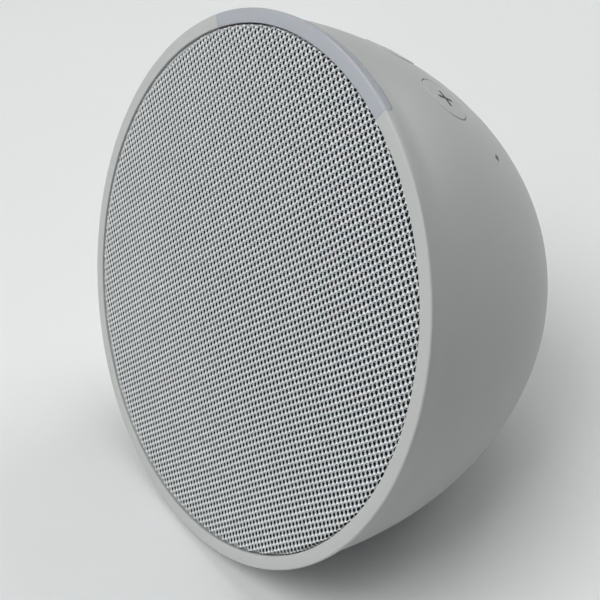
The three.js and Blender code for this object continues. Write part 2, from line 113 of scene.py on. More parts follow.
RIM_INNER = 47 * MM
POCKET_DEPTH = 3.6 * MM
EQUATOR = 48.8 * MM
BODY_DEPTH = 64 * MM
FLARE_DEPTH = 3 * MM
WALL = 2.2 * MM
BASE_HEIGHT = 0.6 * MM
FLOOR_HEIGHT = 2.8 * MM
FOOT_INSET = 2.5 * MM
BUTTON_DEPTH = 20.7 * MM
BUTTON_STEP = 20 * DEGREE
MIC_DEPTH = 28.2 * MM
MIC_ANGLE = 33.9 * DEGREE
CARRIER_ANGLE = 31.5 * DEGREE
CHASSIS_SCREW_CIRCLE = 40.5 * MM
SCREW_AZIMUTHS = [(2 * i + 1) * math.pi / 4 for i in range(4)]
CHASSIS_BACK = 7.5 * MM
CHASSIS_BOSS = 2.75 * MM
CHASSIS_BORE = 1.25 * MM
CARRIER_BOSS = 2.1 * MM
CARRIER_BORE = 1.2 * MM
SOCKET_BOSS = 6.4 * MM
BUTTON_HOLE_DEPTH = 3.4 * MM
MIC_CHAMFER = 0.25 * MM
GUIDE_WAY_BACK = 6.4 * MM
SOCKET_RECESS = 4.7 * MM
CLEARANCE = 0.3 * MM
ROUND = 240


# ---- settings -----------------------------------------------------------------------------


def length(name, description, millimetres):
    """A length setting with its default."""
    return bpy.props.FloatProperty(
        name=name, description=description, default=millimetres * MM,
        min=0, unit="LENGTH", precision=5,
    )


def colour(name, description, red, green, blue):
    """A colour setting with its default."""
    return bpy.props.FloatVectorProperty(
        name=name, description=description, default=(red, green, blue),
        size=3, min=0, max=1, subtype="COLOR",
    )


class SpeakerSizes(bpy.types.PropertyGroup):
    """Sizes of the pieces that show."""

    button_radius: length("Button radius", "Radius of a push button's cap", 4.76)
    button_groove: length("Button groove", "Gap between a button and the housing", 0.1)
    button_edge: length("Button edge", "Rounding of the button and of its hole", 0.24)
    mute_rise: length("Middle button rise", "How far the middle button stands proud", 0.15)
    light_gap: length("Light bar gap", "Joint between the light bar and the housing", 0.05)
    light_wrap: length("Light bar lap", "How far the light bar laps over the rim", 2.45)
    light_corner: length("Light bar corner", "Rounding of the lapped corners", 1.5)
    mic_hole: length("Microphone hole", "Radius of a microphone hole", 0.7)
    weave_pitch: length("Weave pitch", "Distance between nodes of the netting along a row", 1.46)
    weave_row: length("Weave row", "Distance between rows of nodes", 0.745)
    yarn_width: length("Yarn width", "Width of a yarn half way between thick and thin", 0.35)
    sign_width: length("Sign width", "Width of the printed lines on the buttons", 0.68)
    light_half_angle: bpy.props.FloatProperty(
        name="Light bar half angle", description="Half of the arc that the light bar takes up",
        default=28.65 * DEGREE, subtype="ANGLE",
    )


class SpeakerColours(bpy.types.PropertyGroup):
    """Colours of the pieces that show."""

    housing: colour("Housing", "Moulded housing and buttons", 0.475, 0.485, 0.48)
    light: colour("Light bar", "Frosted light bar", 0.40, 0.42, 0.455)
    yarn: colour("Yarn", "Outer yarns of the cloth", 0.93, 0.955, 0.97)
    backing: colour("Backing", "Layer behind the yarns", 0.018, 0.022, 0.028)
    sign: colour("Signs", "Printed signs on the buttons", 0.07, 0.075, 0.08)
    foot: colour("Foot", "Rubber foot", 0.30, 0.31, 0.32)
    table: colour("Table", "Surface that the speaker stands on", 0.70, 0.71, 0.715)


# ---- outlines -----------------------------------------------------------------------------


def body_radius(depth):
    """Radius of the housing at a depth behind the disc."""
    ellipse = EQUATOR * np.sqrt(np.maximum(0, 1 - (depth / BODY_DEPTH) ** 2))
    return ellipse + (RIM_RADIUS - EQUATOR) * np.exp(-((depth / FLARE_DEPTH) ** 2))


def hollow_radius(depth):
    """Radius of the housing's inside at a depth behind the disc."""
    share = 1 - (depth / (BODY_DEPTH - WALL)) ** 2
    return (EQUATOR - WALL) * np.sqrt(np.maximum(0, share))


def dome_outline(radius_at, pole, first, steps, crowding):
    """Points from a depth to the pole, closer together near the rim."""
    start = math.asin(first / pole)
    turns = start + (math.pi / 2 - start) * (np.arange(steps) / steps) ** crowding
    depths = pole * np.sin(turns)
    return [*zip(radius_at(depths), depths), (0.0, pole)]


def arc(radius, depth, size, first, last, steps=6):
    """Points of an arc round a centre, with its angles in degrees from outwards to backwards."""
    turns = np.radians(np.linspace(first, last, steps + 1))
    return [(radius + size * math.cos(t), depth + size * math.sin(t)) for t in turns]


def washer(inner, outer, front, back):
    """The outline of a flat ring."""
    return [(inner, front), (outer, front), (outer, back), (inner, back)]


# ---- meshes -------------------------------------------------------------------------------


def new_object(name, points, faces, place=FACE):
    """A mesh object at the origin whose points are given in a place's own frame."""
    mesh = bpy.data.meshes.new(name)
    mesh.from_pydata(np.asarray(points, float).reshape(-1, 3).tolist(), [], faces)
    mesh.transform(place)
    mesh.validate()
    made = bpy.data.objects.new(name, mesh)
    bpy.context.scene.collection.objects.link(made)
    return made


def turn_outwards(made):
    """Turns the faces of a closed mesh outwards."""
    mesh = bmesh.new()
    mesh.from_mesh(made.data)
    bmesh.ops.recalc_face_normals(mesh, faces=mesh.faces)
    mesh.to_mesh(made.data)
    mesh.free()
    return made


def smooth(made, degrees=None):
    """Smooth shading, with creases where faces meet at more than an angle if one is given."""
    made.data.polygons.foreach_set("use_smooth", [True] * len(made.data.polygons))
    if degrees:
        made.data.set_sharp_from_angle(angle=math.radians(degrees))
    return made


def lathe(name, outline, sides=ROUND, ring=False, place=FACE):
    """Revolves (radius, depth) points. A ring's outline closes on itself, any other ends on the axis."""
    points, rings, faces = [], [], []
    turns = FULL_TURN * np.arange(sides) / sides
    for radius, depth in outline:
        if radius < 1e-9:
            rings.append([len(points)] * sides)
            points.append((0, 0, -depth))
            continue
        rings.append(list(range(len(points), len(points) + sides)))
        points += [(radius * math.sin(t), radius * math.cos(t), -depth) for t in turns]
    pairs = list(zip(rings, rings[1:]))
    if ring:
        pairs.append((rings[-1], rings[0]))
    for one, two in pairs:
        for i in range(sides):
            k = (i + 1) % sides
            corners = dict.fromkeys((one[i], one[k], two[k], two[i]))
            faces.append(tuple(corners))
    return turn_outwards(new_object(name, points, faces, place))


def bands(count, sides):
    """The faces between rings of points, each with as many points as the next."""
    return [
        (row + i, row + sides + i, row + sides + (i + 1) % sides, row + (i + 1) % sides)
        for row in range(0, (count - 1) * sides, sides)
        for i in range(sides)
    ]


def stack(name, rings, place=FACE):
    """A closed solid whose skin runs through rings of points, each as many points as the next."""
    count = len(rings[0])
    points = np.concatenate([*rings, [np.mean(rings[0], axis=0)], [np.mean(rings[-1], axis=0)]])
    first_hub, last_hub = len(points) - 2, len(points) - 1
    last = (len(rings) - 1) * count
    faces = bands(len(rings), count)
    for i in range(count):
        k = (i + 1) % count
        faces.append((first_hub, i, k))
        faces.append((last_hub, last + k, last + i))
    return turn_outwards(new_object(name, points, faces, place))


def loft(name, sections):
    """A closed solid through outlines that each have as many points as the next."""
    count = len(sections[0])
    last = (len(sections) - 1) * count
    ends = [tuple(range(count)), tuple(range(last + count - 1, last - 1, -1))]
    return turn_outwards(new_object(name, np.concatenate(sections), ends + bands(len(sections), count)))


def pin(name, radius, front, back, azimuth=0.0, distance=0.0, sides=32):
    """A cylinder along the disc's axis."""
    shift = Matrix.Translation((distance * math.sin(azimuth), distance * math.cos(azimuth), 0))
    outline = [(0, front), (radius, front), (radius, back), (0, back)]
    return lathe(name, outline, sides, place=FACE @ shift)


def carve(body, operation, tool):
    """Joins a tool to a body, cuts it away or keeps what they share, and removes the tool."""
    modifier = body.modifiers.new("carve", "BOOLEAN")
    modifier.operation = operation
    modifier.solver = "MANIFOLD"
    modifier.object = tool
    shaped = body.evaluated_get(bpy.context.evaluated_depsgraph_get())
    mesh = bpy.data.meshes.new_from_object(shaped)
    if not mesh.polygons:
        raise RuntimeError(f"{body.name} vanished when {tool.name} carved it")
    body.modifiers.clear()
    body.data = mesh
    bpy.data.objects.remove(tool)
    return body


def level_slab(name, low, high):
    """A block between two heights above the table."""
    reach = 0.2
    square = ((-reach, -reach), (reach, -reach), (reach, reach), (-reach, reach))
    corners = [(x, y, z) for z in (low, high) for x, y in square]
    faces = [(3, 2, 1, 0), (4, 5, 6, 7), (0, 1, 5, 4), (1, 2, 6, 5), (2, 3, 7, 6), (3, 0, 4, 7)]
    return new_object(name, corners, faces, LEVEL)


# ---- places on the dome -------------------------------------------------------------------


def radius_slope(depth):
    """How fast the housing's radius changes with depth."""
    step = 1e-6
    return (body_radius(depth + step) - body_radius(depth - step)) / (2 * step)


def dome_place(azimuth, depth):
    """The frame of a place on the dome: y runs backwards along it and z is its outward normal."""
    lean = math.atan(-radius_slope(depth))
    around = Matrix.Rotation(-azimuth, 4, "Z")
    outwards = Matrix.Translation((0, body_radius(depth), -depth))
    upright = Matrix(((1, 0, 0, 0), (0, 0, 1, 0), (0, -1, 0, 0), (0, 0, 0, 1)))
    return around @ outwards @ Matrix.Rotation(-lean, 4, "X") @ upright


def dome_height(place, x, y):
    """How far along a place's own z the dome lies over points of its plane."""
    turn = np.array(place.to_3x3())
    origin = np.array(place.translation)
    z = np.zeros_like(x)
    for _ in range(14):
        points = np.stack([x, y, z], -1) @ turn.T + origin
        across = np.hypot(points[..., 0], points[..., 1])
        miss = across - body_radius(-points[..., 2])
        slope = (points[..., 0] * turn[0, 2] + points[..., 1] * turn[1, 2]) / across
        z = z - miss / (slope + radius_slope(-points[..., 2]) * turn[2, 2])
    return z


def draped_ring(place, radius, lift, sides):
    """A ring of points about a place's axis that follows the dome at a height over it."""
    turns = FULL_TURN * np.arange(sides) / sides
    x, y = radius * np.sin(turns), radius * np.cos(turns)
    return np.stack([x, y, dome_height(place, x, y) + lift], -1)


def level_ring(radius, height, sides):
    """A flat ring of points about a place's axis."""
    turns = FULL_TURN * np.arange(sides) / sides
    return np.stack([radius * np.sin(turns), radius * np.cos(turns), np.full(sides, height)], -1)


def hole_tool(name, place, radius, edge, depth, sides=96):
    """A round cutter whose lip rounds the edge of the hole that it makes in the dome."""
    rings = [draped_ring(place, radius + edge, 1 * MM, sides)]
    for turn in np.radians((82, 66, 50, 34, 17, 0)):
        size = radius + edge * (1 - math.cos(turn))
        rings.append(draped_ring(place, size, -edge * (1 - math.sin(turn)), sides))
    rings.append(level_ring(radius, -depth, sides))
    return stack(name, rings, FACE @ place)


BUTTON_PLACES = [dome_place((i - 1) * BUTTON_STEP, BUTTON_DEPTH) for i in range(3)]
MIC_PLACES = [dome_place(side * MIC_ANGLE, MIC_DEPTH) for side in (-1, 1)]
CARRIER_PLACES = [dome_place(side * CARRIER_ANGLE, BUTTON_DEPTH) for side in (-1, 1)]


def socket_place():
    """The place where the power socket's level axis leaves the back of the housing."""
    low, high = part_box("power_socket")
    face = Vector(((low.x + high.x) / 2, high.y, (low.z + high.z) / 2))
    x_axis, y_axis, z_axis = Vector((-1, 0, 0)), Vector((0, 0, 1)), Vector((0, 1, 0))
    turn = Matrix((x_axis, y_axis, z_axis)).transposed().to_4x4()
    return TO_FACE @ Matrix.Translation(face) @ turn


# ---- housing ------------------------------------------------------------------------------


def base_cut(height):
    """The ellipse in which a level plane cuts the dome: its centre's y and its two half axes."""
    rise = height - DISC_CENTRE.z
    lean_cos, lean_sin = UP.z, FORWARD.z
    across, along = 1 / EQUATOR**2, 1 / BODY_DEPTH**2
    a = lean_sin**2 * across + lean_cos**2 * along
    b = 2 * rise * lean_sin * lean_cos * (across - along)
    rest = b * b / (4 * a) - (rise**2 * (lean_cos**2 * across + lean_sin**2 * along) - 1)
    return DISC_CENTRE.y - b / (2 * a), EQUATOR * math.sqrt(rest), math.sqrt(rest / a)


def foot_rings(inset, levels, sides=160):
    """Level rings of the foot's outline, each at an extra inset and a height."""
    centre, half_width, half_length = base_cut(BASE_HEIGHT)
    turns = FULL_TURN * np.arange(sides) / sides
    rings = []
    for extra, height in levels:
        x = (half_width - inset - extra) * np.sin(turns)
        y = centre + (half_length - inset - extra) * np.cos(turns)
        rings.append(np.stack([x, y, np.full(sides, height)], -1))
    return rings


def sector(name, outline_at, half_angle, back, corner):
    """A band along the top of the rim whose back edge has rounded corners. outline_at gives its section."""
    corner_angle = corner / RIM_RADIUS
    corner_start = half_angle - corner_angle
    stations = [(turn, back) for turn in np.linspace(0, corner_start, 33)]
    for turn in np.radians(np.linspace(10, 90, 9)):
        stations.append((corner_start + corner_angle * math.sin(turn), back - corner * (1 - math.cos(turn))))
    stations = [(-turn, depth) for turn, depth in stations[:0:-1]] + stations
    sections = []
    for turn, depth in stations:
        radius, behind = np.array(outline_at(depth)).T
        sections.append(np.stack([radius * math.sin(turn), radius * math.cos(turn), -behind], -1))
    return loft(name, sections)


def housing_outline():
    """The outside of the housing with its rim and the pocket for the grille."""
    lip = 0.12 * MM
    return [
        (0, POCKET_DEPTH),
        (RIM_INNER, POCKET_DEPTH),
        *arc(RIM_INNER + lip, lip, lip, 180, 270, 4),
        *arc(RIM_RADIUS - RIM_FILLET, RIM_FILLET, RIM_FILLET, 270, 360, 8)[:-1],
        *dome_outline(body_radius, BODY_DEPTH, RIM_FILLET, 76, 1.35),
    ]


def post(name, place, radius, first, last, sides):
    """A cylinder between two heights of a place on the dome."""
    rings = [level_ring(radius, height, sides) for height in (first, last)]
    return stack(name, rings, FACE @ place)


def bosses():
    """The posts inside the housing that take its screws and hold the power socket."""
    front, back = CHASSIS_BACK + CLEARANCE, 42 * MM
    made = []
    for azimuth in SCREW_AZIMUTHS:
        made.append(pin("chassis_boss", CHASSIS_BOSS, front, back, azimuth, CHASSIS_SCREW_CIRCLE))
    for place in CARRIER_PLACES:
        made.append(post("carrier_boss", place, CARRIER_BOSS, -1 * MM, -8.2 * MM, 24))
    made.append(post("socket_boss", socket_place(), SOCKET_BOSS, CLEARANCE, 24 * MM, 64))
    return made


def shade_dome(made):
    """Gives the outside of the dome the normals of its own surface, so that cuts leave no ripples."""
    mesh = made.data
    points = np.zeros(len(mesh.vertices) * 3, np.float32)
    mesh.vertices.foreach_get("co", points)
    to_face = np.array(TO_FACE)
    points = points.reshape(-1, 3) @ to_face[:3, :3].T + to_face[:3, 3]
    across, depth = np.hypot(points[:, 0], points[:, 1]), -points[:, 2]
    on_dome = (np.abs(across - body_radius(depth)) < 0.01 * MM) & (depth > RIM_FILLET * 0.9)
    flare = -2 * depth / FLARE_DEPTH**2 * (RIM_RADIUS - EQUATOR) * np.exp(-((depth / FLARE_DEPTH) ** 2))
    towards_back = EQUATOR**2 * depth / BODY_DEPTH**2 - across * flare
    normals = np.stack([points[:, 0], points[:, 1], -towards_back], -1)
    normals /= np.maximum(np.linalg.norm(normals, axis=1), 1e-9)[:, None]
    normals = normals @ to_face[:3, :3]
    chosen = np.zeros((len(mesh.loops), 3))
    for face in mesh.polygons:
        corners = list(face.vertices)
        if on_dome[corners].all() and (normals[corners] @ np.array(face.normal) > 0.99).all():
            chosen[face.loop_start:face.loop_start + face.loop_total] = normals[corners]
    mesh.normals_split_custom_set(chosen.tolist())


def light_cutters(sizes):
    """The notch for the light bar, then the way through to the guide behind it."""
    gap = sizes.light_gap
    inner, outer = RIM_INNER - 1 * MM, RIM_RADIUS + 2 * MM
    yield sector(
        "light_notch",
        lambda back: washer(inner, outer, -1 * MM, back),
        sizes.light_half_angle + gap / RIM_RADIUS, sizes.light_wrap + gap, sizes.light_corner + gap,
    )
    yield sector(
        "guide_way",
        lambda back: washer(inner, 48 * MM, 2 * MM, back),
        sizes.light_half_angle, GUIDE_WAY_BACK, 0.5 * MM,
    )


def cutters(sizes):
    """Everything that is cut out of the hollow shell, one tool after another."""
    yield level_slab("below_base", -0.1, BASE_HEIGHT)
    yield stack("foot_pocket", foot_rings(FOOT_INSET, [(0, -1 * MM), (0, 1.8 * MM)]), LEVEL)
    yield from light_cutters(sizes)
    button_hole = sizes.button_radius + sizes.button_groove
    for place in BUTTON_PLACES:
        yield hole_tool("button_hole", place, button_hole, sizes.button_edge, BUTTON_HOLE_DEPTH, 128)
    for place in MIC_PLACES:
        yield hole_tool("mic_hole", place, sizes.mic_hole, MIC_CHAMFER, 3 * MM, 40)
    for place in CARRIER_PLACES:
        yield post("carrier_bore", place, CARRIER_BORE, -BUTTON_HOLE_DEPTH, -9 * MM, 20)
    for azimuth in SCREW_AZIMUTHS:
        yield pin("chassis_bore", CHASSIS_BORE, 6 * MM, 16 * MM, azimuth, CHASSIS_SCREW_CIRCLE, 20)
    yield hole_tool("socket_recess", socket_place(), SOCKET_RECESS, 0.4 * MM, 0, 96)


def make_housing(sizes):
    """The moulded shell: hollowed down to its floor, given its posts, then cut for what it holds."""
    shell = lathe("housing_shell", housing_outline())
    outside = shell.copy()
    outside.data = shell.data.copy()
    bpy.context.scene.collection.objects.link(outside)
    hollow_front = POCKET_DEPTH - 0.1 * MM
    hollow_outline = dome_outline(hollow_radius, BODY_DEPTH - WALL, hollow_front, 40, 1.0)
    hollow = lathe("hollow", [(0, hollow_front), *hollow_outline], 120)
    carve(hollow, "INTERSECT", level_slab("above_floor", FLOOR_HEIGHT, 0.2))
    carve(shell, "DIFFERENCE", hollow)
    posts, *others = bosses()
    for other in others:
        carve(posts, "UNION", other)
    carve(posts, "INTERSECT", outside)
    carve(shell, "UNION", posts)
    for tool in cutters(sizes):
        carve(shell, "DIFFERENCE", tool)
    smooth(shell, 30)
    shade_dome(shell)
    return shell


# ---- light bar ----------------------------------------------------------------------------


def make_light_bar(sizes):
    """The frosted insert in the top of the rim, which laps over the rim's outer edge."""
    edge = 0.1 * MM

    def section(back):
        """The bar's section where its back edge lies at a depth."""
        side = np.linspace(RIM_FILLET, back - edge, 6)[1:-1]
        return [
            *arc(RIM_INNER + edge, edge, edge, 180, 270, 3),
            *arc(RIM_RADIUS - RIM_FILLET, RIM_FILLET, RIM_FILLET, 270, 360, 7),
            *zip(body_radius(side), side),
            *arc(body_radius(back) - edge, back - edge, edge, 0, 90, 3),
            *arc(RIM_INNER + edge, back - edge, edge, 90, 180, 3),
        ]

    bar = sector("light_bar_lens", section, sizes.light_half_angle, sizes.light_wrap, sizes.light_corner)
    return smooth(bar, 40)


# ---- cloth --------------------------------------------------------------------------------

CLOTH_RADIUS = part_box("grille_fabric")[1].x
CLOTH_ROLL = 0.45 * MM
CLOTH_FLAT = CLOTH_RADIUS - CLOTH_ROLL
CLOTH_FRONT = 0.24 * MM
CLOTH_BACK = 3.4 * MM
BACKING_SINK = 0.32 * MM
BACKING_THICKNESS = 0.3 * MM
YARN_POINTS = 6


def drift(points):
    """The slow waviness of the stretched cloth's rows."""
    x, y = points[..., 0], points[..., 1]
    right = 0.16 * MM * np.sin(y / (8.7 * MM) + 1.4 * np.sin(x / (21 * MM)))
    up = 0.14 * MM * np.sin(x / (10.3 * MM) + 1.7 * np.sin(y / (17 * MM)) + 0.8)
    return np.stack([x + right, y + up], -1)


def roll_over(points, lift):
    """Wraps a flat pattern over the rolled edge of the cloth, at a height over it, in the face frame."""
    across = np.maximum(np.hypot(points[..., 0], points[..., 1]), 1e-9)
    outwards = points / across[..., None]
    beyond = np.maximum(across - CLOTH_FLAT, 0)
    turn = np.minimum(beyond / CLOTH_ROLL, math.pi / 2)
    down = np.maximum(beyond - CLOTH_ROLL * math.pi / 2, 0)
    size = CLOTH_ROLL + lift
    radius = np.where(beyond > 0, CLOTH_FLAT + size * np.sin(turn), across)
    depth = CLOTH_FRONT + CLOTH_ROLL - size * np.cos(turn) + down
    return np.stack([outwards[..., 0] * radius, outwards[..., 1] * radius, -depth], -1)


def make_backing():
    """The dark layer of the cloth, stretched over the frame and turned down round it."""
    sink, thick = BACKING_SINK, BACKING_THICKNESS
    front, roll = CLOTH_FRONT + sink, CLOTH_ROLL - sink
    skirt = CLOTH_RADIUS - sink
    outline = [
        (0, front),
        *[(skirt * share, front) for share in (0.2, 0.4, 0.6, 0.8)],
        *arc(CLOTH_FLAT, CLOTH_FRONT + CLOTH_ROLL, roll, 270, 360, 5),
        (skirt, CLOTH_BACK),
        (skirt - thick, CLOTH_BACK),
        (skirt - thick, front + thick),
        (0, front + thick),
    ]
    return smooth(lathe("grille_cloth", outline, 160), 40)


def yarn_rise(steps, rising):
    """Rows climbed by a yarn after a number of steps between nodes: level at the nodes, steep between."""
    whole = np.floor(steps)
    start = 0.29 if rising else 0.21
    climb = np.clip((steps - whole - start) / 0.56, 0, 1)
    return whole + climb * climb * (3 - 2 * climb)


def sideways(line):
    """Unit vectors across a line of points."""
    tangent = np.gradient(line, axis=0)
    tangent /= np.linalg.norm(tangent, axis=1)[:, None]
    return np.stack([-tangent[:, 1], tangent[:, 0]], -1)


def thread(line, across, half, edge_lift, crest_lift):
    """Three rows of points along a thread: its crest between its two edges."""
    rows = []
    for share, lift in ((-1, edge_lift), (0, crest_lift), (1, edge_lift)):
        rows.append(roll_over(drift(line + across * (half * share)[:, None]), lift))
    return np.stack(rows, 1).reshape(-1, 3)


def woven_layer(name, threads):
    """One open layer of threads, with its faces towards the front."""
    faces = []
    total = 0
    for points in threads:
        for base in range(total, total + len(points) - 3, 3):
            faces += [(base, base + 1, base + 4, base + 3), (base + 1, base + 2, base + 5, base + 4)]
        total += len(points)
    made = new_object(name, np.concatenate(threads), faces)
    towards = sum((face.normal * face.area for face in made.data.polygons), Vector())
    if towards.dot(FORWARD) < 0:
        made.data.flip_normals()
    return smooth(made)


def yarn_family(name, sizes, rising, seed):
    """One of the two families of yarns, which cross at the netting's nodes with the rising one on top."""
    step, row = sizes.weave_pitch / 2, sizes.weave_row
    reach = CLOTH_FLAT + CLOTH_ROLL * math.pi / 2 + 0.8 * MM
    chance = np.random.default_rng(seed)
    strands = int((reach / step + reach / row) / 2) + 2
    steps = np.arange(-strands * YARN_POINTS, strands * YARN_POINTS) / YARN_POINTS
    threads, crowns = [], []
    for strand in range(-strands, strands + 1):
        x = step * (steps + strand)
        y = row * (yarn_rise(steps, rising) - strand) * (1 if rising else -1)
        near = np.hypot(x, y) < reach
        if near.sum() < 3:
            continue
        x, y, node = x[near], y[near], 0.5 + 0.5 * np.cos(FULL_TURN * steps[near])
        lean, thickness = chance.normal(0, (0.03 * MM, 0.06), (len(x) // YARN_POINTS + 2, 2)).T
        at, knots = np.arange(len(x)) / YARN_POINTS, np.arange(len(lean))
        line = np.stack([x, y + np.interp(at, knots, lean)], -1)
        half = 0.5 * sizes.yarn_width * (0.8 + 0.36 * node) * (1 + np.interp(at, knots, thickness))
        crest = (0.02 + (0.14 if rising else 0.09) * node) * MM
        threads.append(thread(line, sideways(line), half, crest - 0.15 * MM, crest + 0.06 * MM))
        crowns.append(np.repeat(node, 3))
    made = woven_layer(name, threads)
    # Painted light: this node mask becomes, in the yarn material, a painted highlight on the nodes and
    # painted shade in the dips.
    crown = made.data.attributes.new("crown", "FLOAT", "POINT")
    crown.data.foreach_set("value", np.concatenate(crowns).astype(np.float32))
    return made


def make_inlay(sizes):
    """Thin threads behind the netting, which follow its rows and cross each opening near its top."""
    pitch, row = sizes.weave_pitch, sizes.weave_row
    reach = CLOTH_FLAT + 0.3 * MM
    rows = int(reach / row)
    threads = []
    for level in range(-rows, rows + 1):
        half_run = math.sqrt(reach**2 - (level * row) ** 2)
        x = np.arange(-half_run, half_run, pitch / 8)
        wave = np.cos(FULL_TURN * (x - pitch / 2 * (level % 2)) / pitch + 2.2)
        line = np.stack([x, level * row + (0.17 + 0.05 * wave) * MM], -1)
        half = np.full(len(x), 0.075 * MM)
        threads.append(thread(line, np.array((0, 1)), half, -0.26 * MM, -0.12 * MM))
    return woven_layer("grille_inlay", threads)


# ---- buttons ------------------------------------------------------------------------------


def make_button(name, place, sizes, rise):
    """A push button: its cap follows the dome, with a flange and a stem below."""
    radius, edge, sides = sizes.button_radius, sizes.button_edge, 128
    shares = (0.04, 0.2, 0.4, 0.6, 0.8, 0.92, 1)
    rings = [draped_ring(place, (radius - edge) * share, rise, sides) for share in shares]
    for turn in np.radians((72, 54, 36, 18, 0)):
        height = rise - edge * (1 - math.sin(turn))
        rings.append(draped_ring(place, radius - edge * (1 - math.cos(turn)), height, sides))
    flange, stem = 6 * MM, 1.6 * MM
    below = ((radius, -2.9), (flange, -2.9), (flange, -3.6), (stem, -3.6), (stem, -4.9), (1.45 * MM, -5.05))
    rings += [level_ring(size, height * MM, sides) for size, height in below]
    return smooth(stack(name, rings, FACE @ place), 30)


def make_mic_shade_disc(name, place, sizes):
    """A near-black felt disc just inside a microphone hole: painted shade that darkens the hole."""
    outline = ((0.3, -0.34), (0.7, -0.35), (0.97, -0.38), (0.97, -0.6), (0.5, -0.6))
    rings = [level_ring(sizes.mic_hole * share, height * MM, 32) for share, height in outline]
    return smooth(stack(name, rings, FACE @ place), 40)


def ribbon(place, path, width, rise):
    """Points and faces of a thin line printed along a path on the dome."""
    path = np.array(path, float)
    across = sideways(path) * width / 2
    section = ((-1, -0.02), (-0.94, 0.012), (0, 0.014), (0.94, 0.012), (1, -0.02))
    rows = []
    for share, lift in section:
        x, y = (path + across * share).T
        rows.append(np.stack([x, y, dome_height(place, x, y) + rise + lift * MM], -1))
    points = np.stack(rows, 1).reshape(-1, 3)
    sides = len(section)
    last = len(points) - sides
    ends = [tuple(range(sides - 1, -1, -1)), tuple(range(last, last + sides))]
    return points, bands(len(path), sides) + ends


def straight(start, end, steps=12):
    """Points along a line."""
    return np.linspace(start, end, steps + 1)


def curved(centre, radius, first, last, steps=20):
    """Points along an arc, with its angles in degrees."""
    turns = np.radians(np.linspace(first, last, steps + 1))
    return np.stack([centre[0] + radius * np.cos(turns), centre[1] + radius * np.sin(turns)], -1)


def sign_paths(name):
    """The lines of a button's sign, in millimetres."""
    if name == "volume_up":
        return [straight((-1.95, 0), (1.95, 0)), straight((0, -1.95), (0, 1.95))]
    if name == "volume_down":
        return [straight((-1.95, 0), (1.95, 0))]
    capsule = np.concatenate([
        curved((0, 1.2), 0.62, 0, 180), straight((-0.62, 1.2), (-0.62, 0.1))[1:-1],
        curved((0, 0.1), 0.62, 180, 360), straight((0.62, 0.1), (0.62, 1.2))[1:],
    ])
    return [
        capsule,
        curved((0, 0.1), 1.3, 180, 360),
        straight((0, -1.2), (0, -1.95), 4),
        straight((-0.75, -1.95), (0.75, -1.95), 6),
        straight((-1.75, 2.0), (1.75, -1.7), 16),
    ]


def make_sign(name, place, sizes, rise):
    """The printed sign of a button."""
    points, faces = [], []
    width = sizes.sign_width if name != "mute" else 0.5 * sizes.sign_width
    for path in sign_paths(name):
        line_points, line_faces = ribbon(place, np.array(path) * MM, width, rise)
        faces += [tuple(corner + len(points) for corner in face) for face in line_faces]
        points += line_points.tolist()
    return turn_outwards(new_object(name + "_sign", points, faces, FACE @ place))


# ---- foot ---------------------------------------------------------------------------------


def make_foot():
    """The rubber foot, with a rounded tread edge and a shallow step."""
    levels = ((1.6, 0.25), (1.5, 0.0), (0.35, 0.0), (0.12, 0.1), (0, 0.35), (0, 1.3), (0.2, 1.5))
    rings = foot_rings(FOOT_INSET + 0.15 * MM, [(inset * MM, height * MM) for inset, height in levels])
    return smooth(stack("foot_rubber", rings, LEVEL), 40)


# ---- shader groups ------------------------------------------------------------------------


def add_node(tree, kind, settings=None, **sockets):
    """Adds a node with its settings and its inputs, each a value or the output that feeds it."""
    node = tree.nodes.new(kind)
    for name, value in (settings or {}).items():
        setattr(node, name, value)
    for name, value in sockets.items():
        numbered_input = name.startswith("in") and name[2:].isdigit()
        socket = node.inputs[int(name[2:]) if numbered_input else name.replace("_", " ")]
        if isinstance(value, bpy.types.NodeSocket):
            tree.links.new(value, socket)
        else:
            socket.default_value = value
    return node


def calculate(tree, operation, first, second=0.0, third=0.0):
    """A Math node's output."""
    settings = {"operation": operation}
    return add_node(tree, "ShaderNodeMath", settings, in0=first, in1=second, in2=third).outputs[0]


def mixed(tree, factor, first, second):
    """A Mix node's colour output."""
    node = add_node(tree, "ShaderNodeMix", {"data_type": "RGBA"}, in0=factor, in6=first, in7=second)
    return node.outputs[2]


def remapped(tree, value, low, high, to_low, to_high):
    """A Map Range node's output."""
    node = add_node(
        tree, "ShaderNodeMapRange", None,
        Value=value, From_Min=low, From_Max=high, To_Min=to_low, To_Max=to_high,
    )
    return node.outputs["Result"]


def new_group(name, inputs, outputs):
    """An empty shader group with value inputs and outputs."""
    group = bpy.data.node_groups.new(name, "ShaderNodeTree")
    for label, default in inputs.items():
        socket = group.interface.new_socket(name=label, in_out="INPUT", socket_type="NodeSocketFloat")
        socket.default_value = default
    for label in outputs:
        group.interface.new_socket(name=label, in_out="OUTPUT", socket_type="NodeSocketFloat")
    return group, group.nodes.new("NodeGroupInput").outputs, group.nodes.new("NodeGroupOutput")


def object_point(tree):
    """Coordinates fixed to the object, in metres."""
    return tree.nodes.new("ShaderNodeTexCoord").outputs["Object"]


def noise(tree, scale, detail=2.0, roughness=0.5, point=None, distortion=0.0):
    """A noise texture's value."""
    vector = object_point(tree) if point is None else point
    node = add_node(
        tree, "ShaderNodeTexNoise", None,
        Vector=vector, Scale=scale, Detail=detail, Roughness=roughness, Distortion=distortion,
    )
    return node.outputs["Fac"]


